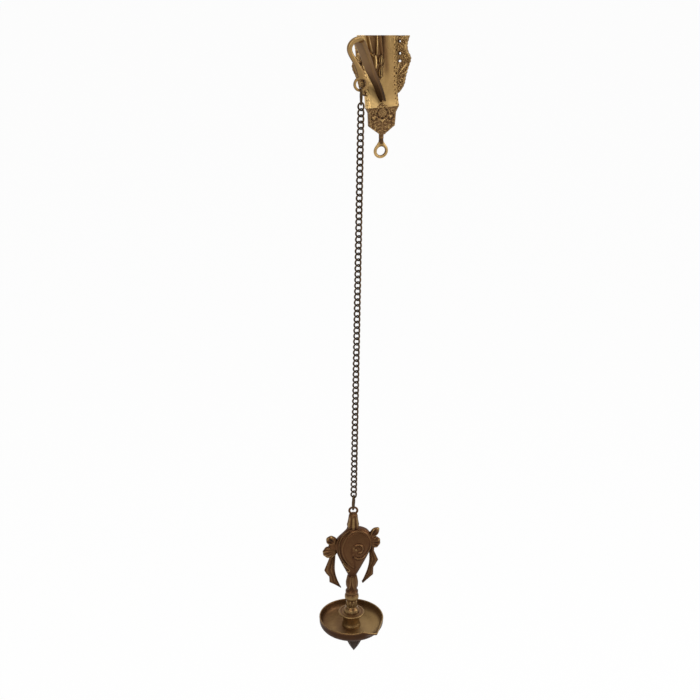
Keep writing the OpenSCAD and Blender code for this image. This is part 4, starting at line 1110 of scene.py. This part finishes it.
class LAMP_OT_plate(bpy.types.Operator):
    """Builds the back plate, the foot panel, the draped relief and its lotus bud"""

    bl_idname = "lamp.plate"
    bl_label = "Plate and Foot Panel"
    bl_options = {"REGISTER"}

    def execute(self, context):
        s = sizes()
        add_piece("plate", [plate_shell(s)], "bracket", ["back_plate"], "rubbed_brass")
        add_piece("foot", [foot_shell(s)], "bracket", ["foot_panel"], "carved_brass")
        add_piece("relief", [relief_shell(s)], "bracket", ["centre_relief"], "carved_brass")
        add_piece("bud", [bud_shell(s)], "bracket", ["lotus_bud"], "carved_brass")
        return {"FINISHED"}


class LAMP_OT_wings(bpy.types.Operator):
    """Builds the two wings of scrollwork"""

    bl_idname = "lamp.wings"
    bl_label = "Wings"
    bl_options = {"REGISTER"}

    def execute(self, context):
        for word, side in (("right", 1), ("left", -1)):
            shell = wing_shell(sizes(), side)
            add_piece(f"wing_{word}", [shell], "bracket", [f"{word}_wing"], "carved_brass")
        return {"FINISHED"}


class LAMP_OT_arm(bpy.types.Operator):
    """Builds the brace arm, the crook hook and the tail eye"""

    bl_idname = "lamp.arm"
    bl_label = "Arm, Hook and Tail Eye"
    bl_options = {"REGISTER"}

    def execute(self, context):
        s = sizes()
        add_piece("brace", [brace_shell(s)], "bracket", ["brace_arm"], "strut_brown")
        add_piece("crook", crook_shells(s), "bracket", ["crook_hook"], "rubbed_brass")
        add_piece("tail", tail_shells(s), "bracket", ["tail_eye"], "rubbed_brass")
        return {"FINISHED"}


class LAMP_OT_chain(bpy.types.Operator):
    """Builds the chain's runs of curb links and the two connecting links"""

    bl_idname = "lamp.chain"
    bl_label = "Chain"
    bl_options = {"REGISTER"}

    def execute(self, context):
        s = sizes()
        top, links, low, half = chain_heights(s)
        link = link_shell(s, half)
        for number, heights in enumerate(links.reshape(RUNS, RUN_LINKS), 1):
            shells = [moved(link, lambda p, z=z: on_line(s, p, z)) for z in heights]
            node = f"chain_{number:02d}"
            add_piece(f"links_{number:02d}", shells, node, [node], "chain_wire")
        for word, place, height, turn in (("top", "top", top, 0.0), ("low", "bottom", low, s.low_turn)):
            shell, node = connector_shell(s, height, turn), f"{place}_connector"
            add_piece(f"connector_{word}", [shell], node, [node], "chain_wire")
        return {"FINISHED"}


class LAMP_OT_conch(bpy.types.Operator):
    """Builds the lamp's eye and crown, the conch and its two sashes"""

    bl_idname = "lamp.conch"
    bl_label = "Crown, Conch and Sashes"
    bl_options = {"REGISTER"}

    def execute(self, context):
        s = sizes()
        pieces = (
            ("crown", crown_shells(), "hanger_eye", "stem_brass"),
            ("conch", conch_shells(s), "conch_shell", "conch_brown"),
            ("sash_left", sash_shells(-1), "left_sash", "stem_brass"),
            ("sash_right", sash_shells(1), "right_sash", "stem_brass"),
        )
        for name, shells, node, look in pieces:
            add_piece(name, hung(s, shells), "lamp", [node], look)
        return {"FINISHED"}


class LAMP_OT_base(bpy.types.Operator):
    """Builds the stem, the dish and the finial"""

    bl_idname = "lamp.base"
    bl_label = "Stem, Dish and Finial"
    bl_options = {"REGISTER"}

    def execute(self, context):
        s = sizes()
        pieces = (
            ("leaf_baluster", baluster_shell(), "stem_brass", "brown_brass"),
            ("bead_ring", bead_shell(), "dish_brown", "bright_brass"),
            ("carved_neck", neck_shell(), "stem_brass", "brown_brass"),
            ("base_flange", flange_shell(), "dish_brown", "dish_brass"),
            ("oil_dish", dish_shell(s), "dish_brown", "dish_brass"),
            ("finial", finial_shell(s), "stem_brass", "brown_brass"),
        )
        for node, shell, look, slot in pieces:
            add_piece(f"lamp_{node}", hung(s, [shell]), "lamp", [node], look)
        return {"FINISHED"}


class LAMP_OT_kept(bpy.types.Operator):
    """Finishes the solids that stay as they are: the wall rib, the rivets, the pins and the tie rod"""

    bl_idname = "lamp.kept"
    bl_label = "Rib, Rivets and Rod"
    bl_options = {"REGISTER"}

    def execute(self, context):
        even_wear = 0.55
        for name in ("wall_rib", "plate_rivets", "arm_rivets", "sash_pins", "tie_rod"):
            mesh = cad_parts[name].data
            mark_wear_and_painted_light(mesh, np.full(len(mesh.vertices), even_wear))
            mesh.materials.clear()
            mesh.materials.append(finish("carved_brass" if name == "wall_rib" else "rubbed_brass"))
        return {"FINISHED"}


# Stage, in metres and watts: the floor's height and half width, the lights' aim, and each light's name,
# place, size, power and tint
FLOOR_HEIGHT, FLOOR_REACH = -1.25, 6.0
LIGHT_AIM = (-0.03, -0.04, -0.33)
LIGHTS = (
    ("key", (-1.5, -1.5, 0.9), 1.1, 22.0, (1.0, 0.97, 0.93)),
    ("fill", (1.5, -1.1, 0.4), 1.0, 16.0, (1, 1, 1)),
    ("top", (0.1, -0.5, 1.3), 0.8, 10.0, (1, 1, 1)),
)


def area_light(name, place, size, watts, tint):
    """A square soft box that looks at the lights' aim."""
    data = bpy.data.lights.new(name, "AREA")
    data.shape, data.size, data.energy, data.color = "SQUARE", size, watts, tint
    light = add_object(name, data)
    light.location = place
    light.rotation_euler = (Vector(LIGHT_AIM) - Vector(place)).to_track_quat("-Z", "Y").to_euler()


def studio_world():
    """A plain studio: white all round for the camera; in reflections, white behind the object and dimmer in
    front of it, where the room is; and an even soft light for the rest."""
    world = bpy.data.worlds.new("studio")
    world.use_nodes = True
    tree = world.node_tree
    start = Socket(tree, None)
    way = start.node("ShaderNodeTexCoord", {}, output="Generated")
    camera_way = (0.375, 0.927, 0.0)
    feed = {0: way, 1: camera_way}
    level = start.node("ShaderNodeVectorMath", feed, output="Value", operation="DOT_PRODUCT")
    room = 0.30 + 0.70 * level.ease(-0.1, 0.7)
    seen = start.ray("Camera")
    glossy = start.ray("Glossy") + start.ray("Transmission")
    strength = seen + (1.0 - seen) * (glossy * room + (1.0 - glossy) * 0.7)
    back = tree.nodes["Background"]
    back.inputs["Color"].default_value = (1, 1, 1, 1)
    tree.links.new(strength.out, back.inputs["Strength"])
    bpy.context.scene.world = world


def floor(tint):
    """A wide pale floor that the camera and reflections see as white and that keeps the shadows of the
    object."""
    mesh = bpy.data.meshes.new("floor")
    ways = ((-1, -1), (1, -1), (1, 1), (-1, 1))
    corners = [(x * FLOOR_REACH, y * FLOOR_REACH, FLOOR_HEIGHT) for x, y in ways]
    mesh.from_pydata(corners, [], [(0, 1, 2, 3)])
    material, shader, start = new_material("floor")
    shader.inputs["Base Color"].default_value = (*tint, 1)
    shader.inputs["Roughness"].default_value = 0.9
    seen = start.ray("Camera") + start.ray("Glossy") + start.ray("Transmission")
    glow = start.node("ShaderNodeEmission", {"Color": (1, 1, 1, 1), "Strength": 1.0})
    plain = Socket(start.tree, shader.outputs[0])
    mixed = start.node("ShaderNodeMixShader", {0: seen * 0.93, 1: plain, 2: glow})
    start.tree.links.new(mixed.out, start.tree.nodes["Material Output"].inputs["Surface"])
    mesh.materials.append(material)
    piece = add_object("floor", mesh)


def photo_camera(s):
    """The camera of the photograph: to the left of the bracket's front, looking down, with a slight roll.
    The ring of the hook shows at a known pixel, which sets its place."""
    focal, side, pixel = 1615.0, 700.0, (361.4, 83.9)
    away, sensor = 1498.0, 36.0
    turn, tilt, roll = map(math.radians, (-22.0, 24.6, -0.98))
    ring = np.array([-s.hook_x, -s.hook_y, EYE_RISE - s.fold_drop])
    level = np.array([-math.sin(turn), math.cos(turn), 0])
    ahead = level * math.cos(tilt) - np.array([0, 0, math.sin(tilt)])
    right = np.array([math.cos(turn), math.sin(turn), 0])
    up = np.cross(right, ahead)
    c, n = math.cos(roll), math.sin(roll)
    right, up = right * c - up * n, up * c + right * n
    ray = ahead + (pixel[0] - side / 2) / focal * right - (pixel[1] - side / 2) / focal * up
    place = ring - ray * away / np.hypot(ray[0], ray[1])
    data = bpy.data.cameras.new("photo")
    data.sensor_width, data.lens = sensor, sensor * focal / side
    data.clip_start, data.clip_end = 0.05, 50.0
    camera = add_object("photo", data)
    turned = Matrix([list(right), list(up), list(-ahead)]).transposed().to_4x4()
    turned.translation = Vector(place * MM)
    camera.matrix_world = turned
    bpy.context.scene.camera = camera


class LAMP_OT_stage(bpy.types.Operator):
    """Sets the floor, the studio light and the camera"""

    bl_idname = "lamp.stage"
    bl_label = "Stage"
    bl_options = {"REGISTER"}

    def execute(self, context):
        studio_world()
        floor(context.scene.lamp_colours.stage)
        for light in LIGHTS:
            area_light(*light)
        photo_camera(sizes())
        context.scene.view_settings.view_transform = "Standard"
        return {"FINISHED"}


STEPS = (
    LAMP_OT_plate,
    LAMP_OT_wings,
    LAMP_OT_arm,
    LAMP_OT_chain,
    LAMP_OT_conch,
    LAMP_OT_base,
    LAMP_OT_kept,
    LAMP_OT_stage,
)


class LAMP_PT_panel(bpy.types.Panel):
    """Lists the build's steps and settings in the sidebar"""

    bl_idname = "LAMP_PT_panel"
    bl_label = "Oil Lamp"
    bl_space_type = "VIEW_3D"
    bl_region_type = "UI"
    bl_category = "Oil Lamp"

    def draw(self, context):
        for step in STEPS:
            self.layout.operator(step.bl_idname)
        for group in (context.scene.lamp_sizes, context.scene.lamp_colours):
            column = self.layout.column(align=True)
            for name, prop in group.bl_rna.properties.items():
                if prop.type == "FLOAT":
                    column.prop(group, name)


CLASSES = (LampSizes, LampColours, *STEPS, LAMP_PT_panel)


def register():
    """Makes the settings, the steps and the panel known to Blender."""
    for cls in CLASSES:
        bpy.utils.register_class(cls)
    bpy.types.Scene.lamp_sizes = PointerProperty(type=LampSizes)
    bpy.types.Scene.lamp_colours = PointerProperty(type=LampColours)


def unregister():
    """Takes back what register made known."""
    del bpy.types.Scene.lamp_colours
    del bpy.types.Scene.lamp_sizes
    for cls in reversed(CLASSES):
        bpy.utils.unregister_class(cls)


def main():
    """Registers the add-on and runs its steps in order."""
    register()
    for step in STEPS:
        group, name = step.bl_idname.split(".")
        getattr(getattr(bpy.ops, group), name)()


if __name__ == "__main__":
    main()
